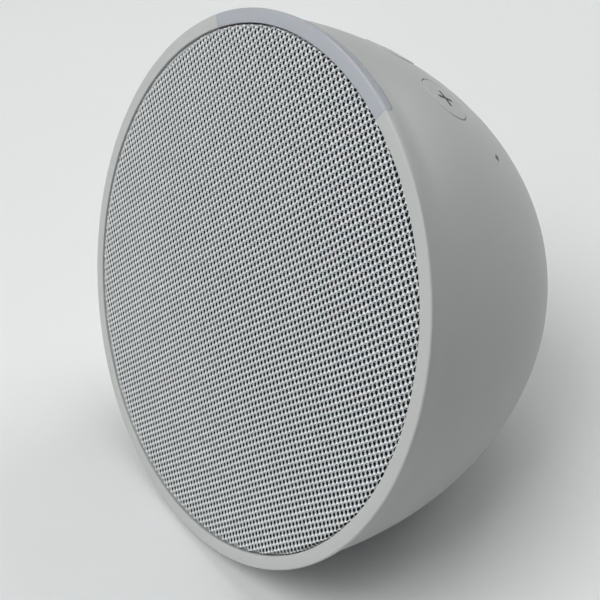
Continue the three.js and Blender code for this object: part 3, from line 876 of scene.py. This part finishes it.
def grain_group():
    """Fine moulded grain: a height for bump and a slow tint."""
    inputs = {"Scale": 5000, "Depth": 1, "Mottle": 1}
    group, given, result = new_group("Moulded grain", inputs, ("Height", "Tint"))
    fine = noise(group, given["Scale"], 3, 0.6)
    slow = noise(group, 60, 3, 0.55)
    group.links.new(calculate(group, "MULTIPLY", fine, given["Depth"]), result.inputs["Height"])
    tint = calculate(group, "MULTIPLY", calculate(group, "SUBTRACT", slow, 0.5), given["Mottle"])
    group.links.new(calculate(group, "ADD", tint, 0.5), result.inputs["Tint"])
    return group


def wear_group():
    """Handling marks: soft smudges and a few fine scratches."""
    group, given, result = new_group("Handling wear", {"Smudge": 1, "Scratch": 1}, ("Mask", "Smudges"))
    smudge = remapped(group, noise(group, 45, 4, 0.6, distortion=0.6), 0.45, 0.75, 0, 1)
    stretch = add_node(
        group, "ShaderNodeMapping", None,
        Vector=object_point(group), Rotation=(0.5, 0.9, 0.3), Scale=(60, 2600, 900),
    )
    hair = noise(group, 1, 2, 0.5, stretch.outputs[0])
    scratch = remapped(group, hair, 0.72, 0.78, 0, 1)
    patch = remapped(group, noise(group, 110, 1, 0.5), 0.55, 0.65, 0, 1)
    scratch = calculate(group, "MULTIPLY", calculate(group, "MULTIPLY", scratch, patch), given["Scratch"])
    smudge = calculate(group, "MULTIPLY", smudge, given["Smudge"])
    group.links.new(smudge, result.inputs["Smudges"])
    group.links.new(scratch, result.inputs["Mask"])
    return group


def brushed_group():
    """Drawn lines of rolled or turned metal."""
    group, given, result = new_group("Drawn metal", {"Scale": 1, "Stretch": 40}, ("Lines", "Stain"))
    across = calculate(group, "MULTIPLY", given["Stretch"], 100)
    size = add_node(group, "ShaderNodeCombineXYZ", None, X=120, Y=across, Z=across)
    stretched = add_node(group, "ShaderNodeMapping", None, Vector=object_point(group), Scale=size.outputs[0])
    group.links.new(noise(group, given["Scale"], 4, 0.7, stretched.outputs[0]), result.inputs["Lines"])
    group.links.new(noise(group, 180, 3, 0.5), result.inputs["Stain"])
    return group


def fibre_group():
    """Loose fibres of spun yarn, felt or paper."""
    group, given, result = new_group("Fibres", {"Scale": 9000}, ("Fibre", "Clump"))
    group.links.new(noise(group, given["Scale"], 4, 0.75, distortion=1.2), result.inputs["Fibre"])
    group.links.new(noise(group, 700, 2, 0.5), result.inputs["Clump"])
    return group


def place_group(tree, name, **values):
    """Places a shared group in a material with its own values."""
    makers = {
        "Moulded grain": grain_group,
        "Handling wear": wear_group,
        "Drawn metal": brushed_group,
        "Fibres": fibre_group,
    }
    shared = bpy.data.node_groups.get(name) or makers[name]()
    node = tree.nodes.new("ShaderNodeGroup")
    node.node_tree = shared
    for label, value in values.items():
        node.inputs[label].default_value = value
    return node.outputs


# ---- materials ----------------------------------------------------------------------------


def new_material(name, **uniform):
    """A material with its Principled shader, and the values that are the same all over."""
    material = bpy.data.materials.new(name)
    material.use_nodes = True
    tree = material.node_tree
    shader = tree.nodes["Principled BSDF"]
    for label, value in uniform.items():
        shader.inputs[label.replace("_", " ")].default_value = value
    return material, tree, shader.inputs


def opaque(rgb, strength=1.0):
    """A colour with its alpha, made lighter or darker."""
    return (*[min(1.0, channel * strength) for channel in rgb], 1.0)


def tinted(tree, inputs, mask, first, second):
    """Mixes two colours by a mask into the shader's base colour."""
    tree.links.new(mixed(tree, mask, first, second), inputs["Base Color"])


def roughened(tree, inputs, value, low, high, from_roughness, to_roughness):
    """Spreads a value's range over a range of roughness."""
    tree.links.new(remapped(tree, value, low, high, from_roughness, to_roughness), inputs["Roughness"])


def bumped(tree, inputs, height, strength, distance):
    """Feeds a height into the shader's normal."""
    bump = add_node(tree, "ShaderNodeBump", None, Height=height, Strength=strength, Distance=distance)
    tree.links.new(bump.outputs[0], inputs["Normal"])


def moulded_plastic(name, rgb, roughness, grain_scale=6500, grain=0.35, mottle=0.5, wear=0.6):
    """Moulded plastic with a fine eroded grain, slow tint and handling marks."""
    material, tree, inputs = new_material(name, Specular_IOR_Level=0.42)
    grain_out = place_group(tree, "Moulded grain", Scale=grain_scale, Depth=1, Mottle=mottle)
    wear_out = place_group(tree, "Handling wear", Smudge=wear, Scratch=wear)
    plain = mixed(tree, grain_out["Tint"], opaque(rgb, 0.965), opaque(rgb, 1.035))
    scuffed = mixed(tree, calculate(tree, "MULTIPLY", wear_out["Mask"], 0.35), plain, opaque(rgb, 1.25))
    tree.links.new(scuffed, inputs["Base Color"])
    smudged = remapped(tree, wear_out["Smudges"], 0, 1, roughness, roughness - 0.06)
    grainy = calculate(tree, "ADD", smudged, calculate(tree, "MULTIPLY", grain_out["Height"], 0.06))
    tree.links.new(grainy, inputs["Roughness"])
    bumped(tree, inputs, grain_out["Height"], grain, 0.02 * MM)
    return material


def frosted_light(name, rgb):
    """Frosted diffuser plastic with a soft inner glow of daylight, a slow mottle, smudges and a fine grain.
    """
    material, tree, inputs = new_material(
        name, Specular_IOR_Level=0.5, Subsurface_Weight=0.25, Subsurface_Scale=1.2 * MM,
        Coat_Weight=0.12, Coat_Roughness=0.25,
    )
    grain_out = place_group(tree, "Moulded grain", Scale=4200, Depth=1, Mottle=0.8)
    wear_out = place_group(tree, "Handling wear", Smudge=0.5, Scratch=0.4)
    tinted(tree, inputs, grain_out["Tint"], opaque(rgb, 0.94), opaque(rgb, 1.06))
    roughened(tree, inputs, wear_out["Smudges"], 0, 1, 0.42, 0.34)
    bumped(tree, inputs, grain_out["Height"], 0.25, 0.015 * MM)
    return material


def spun_yarn(name, rgb, dark=0.6):
    """White spun yarn with loose fibres: a painted highlight makes it bright on its nodes and painted shade
    makes it greyer where it dips.
    """
    material, tree, inputs = new_material(
        name, Sheen_Weight=0.25, Sheen_Roughness=0.5, Specular_IOR_Level=0.25
    )
    fibre_out = place_group(tree, "Fibres", Scale=8000)
    # Painted light: the node mask brightens the nodes as a painted highlight and greys the dips as painted
    # shade, down to the given dark share of the yarn colour.
    crown = add_node(tree, "ShaderNodeAttribute", {"attribute_name": "crown"}).outputs["Fac"]
    painted_highlight_mask = remapped(tree, crown, 0.0, 0.9, 0.0, 1.0)
    shade = mixed(tree, painted_highlight_mask, opaque(rgb, dark), opaque(rgb))
    loose = remapped(tree, fibre_out["Fibre"], 0.35, 0.65, 0, 0.35)
    tinted(tree, inputs, loose, shade, opaque(rgb, dark * 0.8))
    roughened(tree, inputs, fibre_out["Clump"], 0.3, 0.7, 0.7, 0.95)
    bumped(tree, inputs, fibre_out["Fibre"], 0.5, 0.03 * MM)
    return material


def dark_backing(name, rgb):
    """Dark felted layer behind the netting."""
    material, tree, inputs = new_material(name, Specular_IOR_Level=0.1)
    fibre_out = place_group(tree, "Fibres", Scale=6000)
    tinted(tree, inputs, fibre_out["Fibre"], opaque(rgb, 0.6), opaque(rgb, 1.8))
    roughened(tree, inputs, fibre_out["Clump"], 0.3, 0.7, 0.85, 1.0)
    bumped(tree, inputs, fibre_out["Fibre"], 0.6, 0.03 * MM)
    return material


def rubber(name, rgb):
    """Moulded rubber with a dusty bloom."""
    material, tree, inputs = new_material(name, Specular_IOR_Level=0.3, Sheen_Weight=0.15)
    grain_out = place_group(tree, "Moulded grain", Scale=3500, Depth=1, Mottle=1.2)
    wear_out = place_group(tree, "Handling wear", Smudge=1, Scratch=0.3)
    plain = mixed(tree, grain_out["Tint"], opaque(rgb, 0.9), opaque(rgb, 1.1))
    dusty = mixed(tree, calculate(tree, "MULTIPLY", wear_out["Smudges"], 0.3), plain, (0.5, 0.5, 0.48, 1))
    tree.links.new(dusty, inputs["Base Color"])
    roughened(tree, inputs, grain_out["Height"], 0.3, 0.7, 0.75, 0.92)
    bumped(tree, inputs, grain_out["Height"], 0.5, 0.03 * MM)
    return material


def metal(name, rgb, roughness, stain=0.25, stretch=40):
    """Drawn or plated metal with fine lines and slow staining."""
    material, tree, inputs = new_material(name, Metallic=1.0)
    lines_out = place_group(tree, "Drawn metal", Scale=1, Stretch=stretch)
    streaked = mixed(tree, lines_out["Lines"], opaque(rgb, 0.86), opaque(rgb, 1.08))
    stained = mixed(tree, calculate(tree, "MULTIPLY", lines_out["Stain"], stain), streaked, opaque(rgb, 0.7))
    tree.links.new(stained, inputs["Base Color"])
    uneven = remapped(tree, lines_out["Lines"], 0.2, 0.8, roughness - 0.08, roughness + 0.12)
    tree.links.new(uneven, inputs["Roughness"])
    bumped(tree, inputs, lines_out["Lines"], 0.25, 0.01 * MM)
    return material


def circuit_board(name):
    """Green solder mask over copper tracks, with pads and vias."""
    material, tree, inputs = new_material(
        name, Specular_IOR_Level=0.5, Coat_Weight=0.3, Coat_Roughness=0.15
    )
    point = object_point(tree)
    tracks = add_node(
        tree, "ShaderNodeTexBrick", {"offset": 0.37, "squash": 1.4},
        Vector=point, Scale=260, Mortar_Size=0.06, Mortar_Smooth=0.2,
    ).outputs["Fac"]
    vias = add_node(tree, "ShaderNodeTexVoronoi", {"feature": "F1"}, Vector=point, Scale=420)
    pad = remapped(tree, vias.outputs["Distance"], 0.16, 0.2, 1, 0)
    mask = mixed(tree, tracks, (0.012, 0.11, 0.045, 1), (0.02, 0.19, 0.08, 1))
    tinted(tree, inputs, pad, mask, (0.62, 0.47, 0.2, 1))
    roughened(tree, inputs, pad, 0, 1, 0.38, 0.25)
    tree.links.new(pad, inputs["Metallic"])
    bumped(tree, inputs, calculate(tree, "ADD", tracks, pad), 0.4, 0.03 * MM)
    return material


def banded(name, rgb, second, scale, metallic, roughness, distortion=0.4):
    """Fine parallel bands: wound wire, printed tracks on film or pressed threads."""
    material, tree, inputs = new_material(name, Metallic=metallic)
    upright = add_node(
        tree, "ShaderNodeMapping", None, Vector=object_point(tree), Rotation=(math.acos(UP.z), 0, 0)
    )
    stripes = add_node(
        tree, "ShaderNodeTexWave", {"bands_direction": "Y"},
        Vector=upright.outputs[0], Scale=scale, Distortion=distortion, Detail=2,
    ).outputs["Fac"]
    fibre_out = place_group(tree, "Fibres", Scale=3000)
    two_tone = mixed(tree, stripes, opaque(rgb), opaque(second))
    worn = calculate(tree, "MULTIPLY", fibre_out["Clump"], 0.25)
    tinted(tree, inputs, worn, two_tone, opaque(rgb, 0.6))
    roughened(tree, inputs, stripes, 0, 1, roughness, roughness + 0.15)
    bumped(tree, inputs, stripes, 0.6, 0.05 * MM)
    return material


def pulp(name, rgb):
    """Pressed paper pulp of a loudspeaker cone."""
    material, tree, inputs = new_material(name, Specular_IOR_Level=0.25, Sheen_Weight=0.2)
    fibre_out = place_group(tree, "Fibres", Scale=2600)
    tinted(tree, inputs, fibre_out["Fibre"], opaque(rgb, 0.6), opaque(rgb, 1.6))
    roughened(tree, inputs, fibre_out["Clump"], 0.3, 0.7, 0.75, 0.95)
    bumped(tree, inputs, fibre_out["Fibre"], 0.7, 0.06 * MM)
    return material


def clear_plastic(name):
    """Clear guide plastic with moulding haze."""
    material, tree, inputs = new_material(
        name, Transmission_Weight=0.9, IOR=1.49, Base_Color=(0.93, 0.96, 0.98, 1)
    )
    grain_out = place_group(tree, "Moulded grain", Scale=900, Depth=1, Mottle=1)
    roughened(tree, inputs, grain_out["Tint"], 0.2, 0.8, 0.05, 0.22)
    bumped(tree, inputs, grain_out["Height"], 0.15, 0.02 * MM)
    return material


def lamp_package(name):
    """White light-emitting package with a round phosphor well."""
    material, tree, inputs = new_material(name, Specular_IOR_Level=0.5, Coat_Weight=0.4)
    cells = add_node(
        tree, "ShaderNodeTexVoronoi", {"feature": "F1"}, Vector=object_point(tree), Scale=900
    ).outputs["Distance"]
    phosphor = remapped(tree, cells, 0.35, 0.5, 1, 0)
    tinted(tree, inputs, phosphor, (0.82, 0.82, 0.78, 1), (0.85, 0.72, 0.25, 1))
    roughened(tree, inputs, phosphor, 0, 1, 0.3, 0.5)
    bumped(tree, inputs, cells, 0.2, 0.02 * MM)
    return material


def table_surface(name, rgb):
    """A pale painted board."""
    material, tree, inputs = new_material(name, Specular_IOR_Level=0.3)
    cloudy = noise(tree, 5, 4, 0.55)
    tinted(tree, inputs, cloudy, opaque(rgb, 0.97), opaque(rgb, 1.03))
    roughened(tree, inputs, noise(tree, 300, 3), 0.3, 0.7, 0.55, 0.65)
    bumped(tree, inputs, noise(tree, 1500, 3), 0.08, 0.05 * MM)
    return material


def painted_wall(name):
    """A pale wall in even light of its own."""
    material, tree, inputs = new_material(
        name, Base_Color=(0, 0, 0, 1), Specular_IOR_Level=0.0, Emission_Strength=1.0
    )
    pale = (0.62, 0.635, 0.64)
    cloudy = mixed(tree, noise(tree, 1.5, 3, 0.5), opaque(pale, 0.97), opaque(pale, 1.03))
    tree.links.new(cloudy, inputs["Emission Color"])
    bumped(tree, inputs, noise(tree, 900, 3), 0.05, 0.05 * MM)
    return material


def printed_ink(name, rgb):
    """Matt printed ink with slightly uneven cover."""
    material, tree, inputs = new_material(name, Specular_IOR_Level=0.3)
    grain_out = place_group(tree, "Moulded grain", Scale=9000, Depth=1, Mottle=1)
    tinted(tree, inputs, grain_out["Height"], opaque(rgb, 0.75), opaque(rgb, 1.4))
    roughened(tree, inputs, grain_out["Tint"], 0.3, 0.7, 0.5, 0.65)
    bumped(tree, inputs, grain_out["Height"], 0.2, 0.005 * MM)
    return material


def coat(made, material):
    """Gives an object one material."""
    made.data.materials.clear()
    made.data.materials.append(material)
    return made


def finish_piece(made, material, slot, *nodes, body=BODY):
    """Coats a piece, hides the nodes that it stands for and lets it ride on its body. Its slot is not used.
    """
    coat(made, material)
    if nodes:
        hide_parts(*nodes)
    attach(made, body)
    return made


def soften_edges(node, width):
    """Rounds and shades the edges of a node that stays as it is."""
    smooth(node, 32)
    bevel = node.modifiers.new("edge_round", "BEVEL")
    bevel.width = width
    bevel.segments = 2
    bevel.limit_method = "ANGLE"
    bevel.angle_limit = 40 * DEGREE
    bevel.harden_normals = True


def numbered(prefix, count):
    """Names of like nodes."""
    return [f"{prefix}_{i + 1}" for i in range(count)]


def finish_nodes(material, width, *names):
    """Coats nodes that keep their own shape."""
    for name in names:
        node = frame["nodes"][name]
        coat(node, material)
        soften_edges(node, width)


# ---- operators ----------------------------------------------------------------------------


class SPEAKER_OT_housing(bpy.types.Operator):
    """Build the moulded housing"""

    bl_idname = "speaker.housing"
    bl_label = "Housing"
    bl_options = {"REGISTER", "UNDO"}

    def execute(self, context):
        sizes = context.scene.speaker_sizes
        colours = context.scene.speaker_colours
        plastic = moulded_plastic("pale_plastic", colours.housing, 0.38)
        finish_piece(make_housing(sizes), plastic, "housing_plastic", "rear_housing")
        # Painted shade: near-black discs set just under the microphone holes so that the holes read dark.
        mesh = dark_backing("mic_hole_shade", (0.02, 0.02, 0.021))
        for side, place in zip(("left", "right"), MIC_PLACES):
            finish_piece(make_mic_shade_disc("mic_shade_disc_" + side, place, sizes), mesh, "black_plastic")
        return {"FINISHED"}


class SPEAKER_OT_foot(bpy.types.Operator):
    """Build the rubber foot"""

    bl_idname = "speaker.foot"
    bl_label = "Foot"
    bl_options = {"REGISTER", "UNDO"}

    def execute(self, context):
        colours = context.scene.speaker_colours
        finish_piece(make_foot(), rubber("foot_rubber", colours.foot), "grey_rubber", "foot_pad")
        return {"FINISHED"}


class SPEAKER_OT_light(bpy.types.Operator):
    """Build the light bar and finish the lamps behind it"""

    bl_idname = "speaker.light"
    bl_label = "Light Bar"
    bl_options = {"REGISTER", "UNDO"}

    def execute(self, context):
        sizes = context.scene.speaker_sizes
        colours = context.scene.speaker_colours
        frosted = frosted_light("frosted_plastic", colours.light)
        finish_piece(make_light_bar(sizes), frosted, "light_diffuser", "light_bar")
        finish_nodes(clear_plastic("guide_plastic"), 0.1 * MM, "light_guide")
        finish_nodes(lamp_package("lamp_package"), 0.08 * MM, *numbered("led", 5))
        return {"FINISHED"}


class SPEAKER_OT_cloth(bpy.types.Operator):
    """Build the netting and the layer behind it"""

    bl_idname = "speaker.cloth"
    bl_label = "Front Cloth"
    bl_options = {"REGISTER", "UNDO"}

    def execute(self, context):
        sizes = context.scene.speaker_sizes
        colours = context.scene.speaker_colours
        backing = make_backing()
        felt = dark_backing("cloth_backing", colours.backing)
        finish_piece(backing, felt, "grille_cloth", "grille_fabric")
        yarn = spun_yarn("white_yarn", colours.yarn)
        layers = [
            yarn_family("grille_yarns_rising", sizes, True, 3),
            yarn_family("grille_yarns_falling", sizes, False, 5),
        ]
        inlay = make_inlay(sizes)
        for layer in layers:
            finish_piece(layer, yarn, "grille_cloth")
        # The inlay carries no node mask, so it is painted in shade all over, at 0.45 of the yarn colour.
        finish_piece(inlay, spun_yarn("inlay_yarn", colours.yarn, 0.45), "grille_cloth")
        return {"FINISHED"}


class SPEAKER_OT_buttons(bpy.types.Operator):
    """Build the three push buttons with their printed signs"""

    bl_idname = "speaker.buttons"
    bl_label = "Buttons"
    bl_options = {"REGISTER", "UNDO"}

    def execute(self, context):
        sizes = context.scene.speaker_sizes
        colours = context.scene.speaker_colours
        plastic = bpy.data.materials["pale_plastic"]
        ink = printed_ink("sign_ink", colours.sign)
        for name, place in zip(BUTTONS, BUTTON_PLACES):
            rise = sizes.mute_rise if name == "mute" else 0.0
            cap = make_button(name + "_cap", place, sizes, rise)
            finish_piece(cap, plastic, "housing_plastic", name + "_button", body=name)
            finish_piece(make_sign(name, place, sizes, rise), ink, "black_plastic", body=name)
        return {"FINISHED"}


class SPEAKER_OT_inside(bpy.types.Operator):
    """Finish the pieces inside the housing"""

    bl_idname = "speaker.inside"
    bl_label = "Inner Pieces"
    bl_options = {"REGISTER", "UNDO"}

    def execute(self, context):
        black = moulded_plastic("dark_plastic", (0.022, 0.023, 0.025), 0.55, 3500, 0.5, 1.2, 0.8)
        finish_nodes(black, 0.15 * MM, "grille_frame", "front_chassis", "speaker_enclosure")
        finish_nodes(black, 0.15 * MM, "button_carrier", "power_socket")
        finish_nodes(black, 0.1 * MM, *[name + "_plunger" for name in BUTTONS])
        zinc = metal("bright_zinc", (0.6, 0.61, 0.62), 0.32, 0.3)
        for place, count in (("chassis", 4), ("speaker", 4), ("board", 3), ("carrier", 2)):
            finish_nodes(zinc, 0.12 * MM, *numbered(place + "_screw", count))
        finish_nodes(zinc, 0.12 * MM, "shield_can", "microphone_left", "microphone_right")
        steel = metal("rolled_steel", (0.42, 0.44, 0.46), 0.36, 0.35)
        finish_nodes(steel, 0.15 * MM, "speaker_basket", "top_plate", "yoke", "power_socket_pin")
        finish_nodes(steel, 0.1 * MM, *[name + "_switch" for name in BUTTONS])
        aluminium = metal("rolled_aluminium", (0.68, 0.69, 0.7), 0.42, 0.2, 12)
        finish_nodes(aluminium, 0.15 * MM, "heat_spreader")
        board = circuit_board("green_board")
        finish_nodes(board, 0.08 * MM, "main_board", "led_board", "antenna_left", "antenna_right")
        grey = rubber("dark_rubber", (0.09, 0.095, 0.1))
        finish_nodes(grey, 0.1 * MM, "speaker_gasket", "surround", "mic_gasket_left", "mic_gasket_right")
        ceramic = moulded_plastic("fired_ceramic", (0.035, 0.035, 0.037), 0.62, 1800, 0.8, 1.5, 0.4)
        finish_nodes(ceramic, 0.2 * MM, "magnet")
        finish_nodes(pulp("paper_pulp", (0.03, 0.032, 0.036)), 0.05 * MM, "cone", "dust_cap")
        copper = banded("wound_copper", (0.72, 0.28, 0.1), (0.45, 0.16, 0.05), 500, 1.0, 0.3)
        finish_nodes(copper, 0.03 * MM, "voice_coil")
        film = banded("printed_film", (0.5, 0.24, 0.05), (0.62, 0.36, 0.1), 160, 0.0, 0.35)
        finish_nodes(film, 0.03 * MM, "button_flex")
        cloth = banded("pressed_cloth", (0.55, 0.36, 0.14), (0.4, 0.25, 0.09), 300, 0.0, 0.8, 1.5)
        finish_nodes(cloth, 0.05 * MM, "spider")
        return {"FINISHED"}


# ---- stage --------------------------------------------------------------------------------

TABLE_RADIUS = 2.0
WALL_HEIGHT = 2.4
LAMP_DISTANCE = 1.2
LAMP_TINT = (1.0, 0.995, 0.985)
LAMPS = (  # name, azimuth, elevation, size in metres, power in watts
    ("front_high", 0, 62, 0.8, 9.3),
    ("front_low", 10, 30, 0.8, 1.6),
    ("front_edge", 32, 10, 0.3, 1.5),
    ("back_low", 180, 36, 0.8, 5.6),
    ("back_left", 225, 62, 0.8, 4.6),
    ("left_low", 315, 18, 0.8, 2.3),
)
CAMERA_OFFSET = Vector((139.09, -71.14, 120.9)) * MM
CAMERA_AZIMUTH = 58.51 * DEGREE
CAMERA_ELEVATION = 38.60 * DEGREE
CAMERA_ROLL = 6.12 * DEGREE
CAMERA_LENS = 66.14


def make_table(colours):
    """A wide pale table top."""
    rings = [level_ring(TABLE_RADIUS * share, 0, 96) for share in (1, 0.6, 0.3, 0.1)]
    points = np.concatenate(rings)
    middle = tuple(range(len(points) - 1, len(points) - 97, -1))
    table = new_object("table_top", points, [middle, *bands(len(rings), 96)], LEVEL)
    coat(table, table_surface("table_surface", colours.table))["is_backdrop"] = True


def make_wall():
    """A plain wall round the table that lights nothing and throws no shadow."""
    rings = [level_ring(TABLE_RADIUS, height, 96) for height in (WALL_HEIGHT, 0)]
    wall = new_object("back_wall", np.concatenate(rings), bands(2, 96), LEVEL)
    wall.visible_diffuse = False
    wall.visible_glossy = False
    wall.visible_transmission = False
    wall.visible_shadow = False
    coat(wall, painted_wall("painted_wall"))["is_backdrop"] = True


def make_lamp(name, azimuth, elevation, size, power):
    """A square soft lamp aimed at the speaker from an azimuth and an elevation."""
    lamp = bpy.data.lights.new(name, "AREA")
    lamp.shape = "SQUARE"
    lamp.size = size
    lamp.energy = power
    lamp.color = LAMP_TINT
    holder = bpy.data.objects.new(name, lamp)
    towards = Vector((
        math.sin(azimuth) * math.cos(elevation),
        -math.cos(azimuth) * math.cos(elevation),
        math.sin(elevation),
    ))
    aim = DISC_CENTRE + Vector((0, 0.03, -0.01))
    holder.location = aim + towards * LAMP_DISTANCE
    holder.rotation_euler = towards.to_track_quat("Z", "Y").to_euler()
    holder.visible_camera = False
    bpy.context.scene.collection.objects.link(holder)


def make_camera():
    """The camera in front, above and to the right of the speaker."""
    camera = bpy.data.cameras.new("camera")
    camera.lens = CAMERA_LENS
    camera.sensor_width = 36
    camera.clip_start = 0.01
    holder = bpy.data.objects.new("camera", camera)
    back = Vector((
        math.sin(CAMERA_AZIMUTH) * math.cos(CAMERA_ELEVATION),
        -math.cos(CAMERA_AZIMUTH) * math.cos(CAMERA_ELEVATION),
        math.sin(CAMERA_ELEVATION),
    ))
    right = Vector((0, 0, 1)).cross(back).normalized()
    aimed = Matrix((right, back.cross(right), back)).transposed()
    roll = Matrix.Rotation(-CAMERA_ROLL, 3, "Z")
    holder.matrix_world = Matrix.Translation(DISC_CENTRE + CAMERA_OFFSET) @ (aimed @ roll).to_4x4()
    bpy.context.scene.collection.objects.link(holder)
    bpy.context.scene.camera = holder


class SPEAKER_OT_stage(bpy.types.Operator):
    """Build the table, the soft lamps and the camera"""

    bl_idname = "speaker.stage"
    bl_label = "Stage"
    bl_options = {"REGISTER", "UNDO"}

    def execute(self, context):
        colours = context.scene.speaker_colours
        make_table(colours)
        make_wall()
        for name, azimuth, elevation, size, power in LAMPS:
            make_lamp(name, azimuth * DEGREE, elevation * DEGREE, size, power)
        world = bpy.data.worlds.new("soft_room")
        world.use_nodes = True
        room = world.node_tree.nodes["Background"].inputs
        room["Color"].default_value = (0.86, 0.93, 0.95, 1)
        room["Strength"].default_value = 0.115
        context.scene.world = world
        context.scene.view_settings.view_transform = "Standard"
        context.scene.view_settings.gamma = 0.85
        make_camera()
        return {"FINISHED"}


class SPEAKER_PT_panel(bpy.types.Panel):
    """Lists the speaker's operators"""

    bl_idname = "SPEAKER_PT_panel"
    bl_label = "Smart Speaker"
    bl_space_type = "VIEW_3D"
    bl_region_type = "UI"
    bl_category = "Speaker"

    def draw(self, context):
        for group in (context.scene.speaker_sizes, context.scene.speaker_colours):
            box = self.layout.box()
            for name in group.__annotations__:
                box.prop(group, name)
        for operator in OPERATORS:
            self.layout.operator(operator.bl_idname)


OPERATORS = (
    SPEAKER_OT_stage,
    SPEAKER_OT_housing,
    SPEAKER_OT_foot,
    SPEAKER_OT_light,
    SPEAKER_OT_cloth,
    SPEAKER_OT_buttons,
    SPEAKER_OT_inside,
)
CLASSES = (SpeakerSizes, SpeakerColours, *OPERATORS, SPEAKER_PT_panel)


def register():
    """Registers the classes and their settings."""
    for cls in CLASSES:
        bpy.utils.register_class(cls)
    bpy.types.Scene.speaker_sizes = bpy.props.PointerProperty(type=SpeakerSizes)
    bpy.types.Scene.speaker_colours = bpy.props.PointerProperty(type=SpeakerColours)


def unregister():
    """Removes the settings and the classes."""
    del bpy.types.Scene.speaker_colours
    del bpy.types.Scene.speaker_sizes
    for cls in reversed(CLASSES):
        bpy.utils.unregister_class(cls)


def main():
    """Builds the whole speaker and works out its bounds beside the imported model's."""
    register()
    bpy.ops.speaker.stage()
    bpy.ops.speaker.housing()
    bpy.ops.speaker.foot()
    bpy.ops.speaker.light()
    bpy.ops.speaker.cloth()
    bpy.ops.speaker.buttons()
    bpy.ops.speaker.inside()
    corners = {"cad": CAD_BOUNDS, "visual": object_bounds()}
    {name: [list(low), list(high)] for name, (low, high) in corners.items()}


if __name__ == "__main__":
    main()
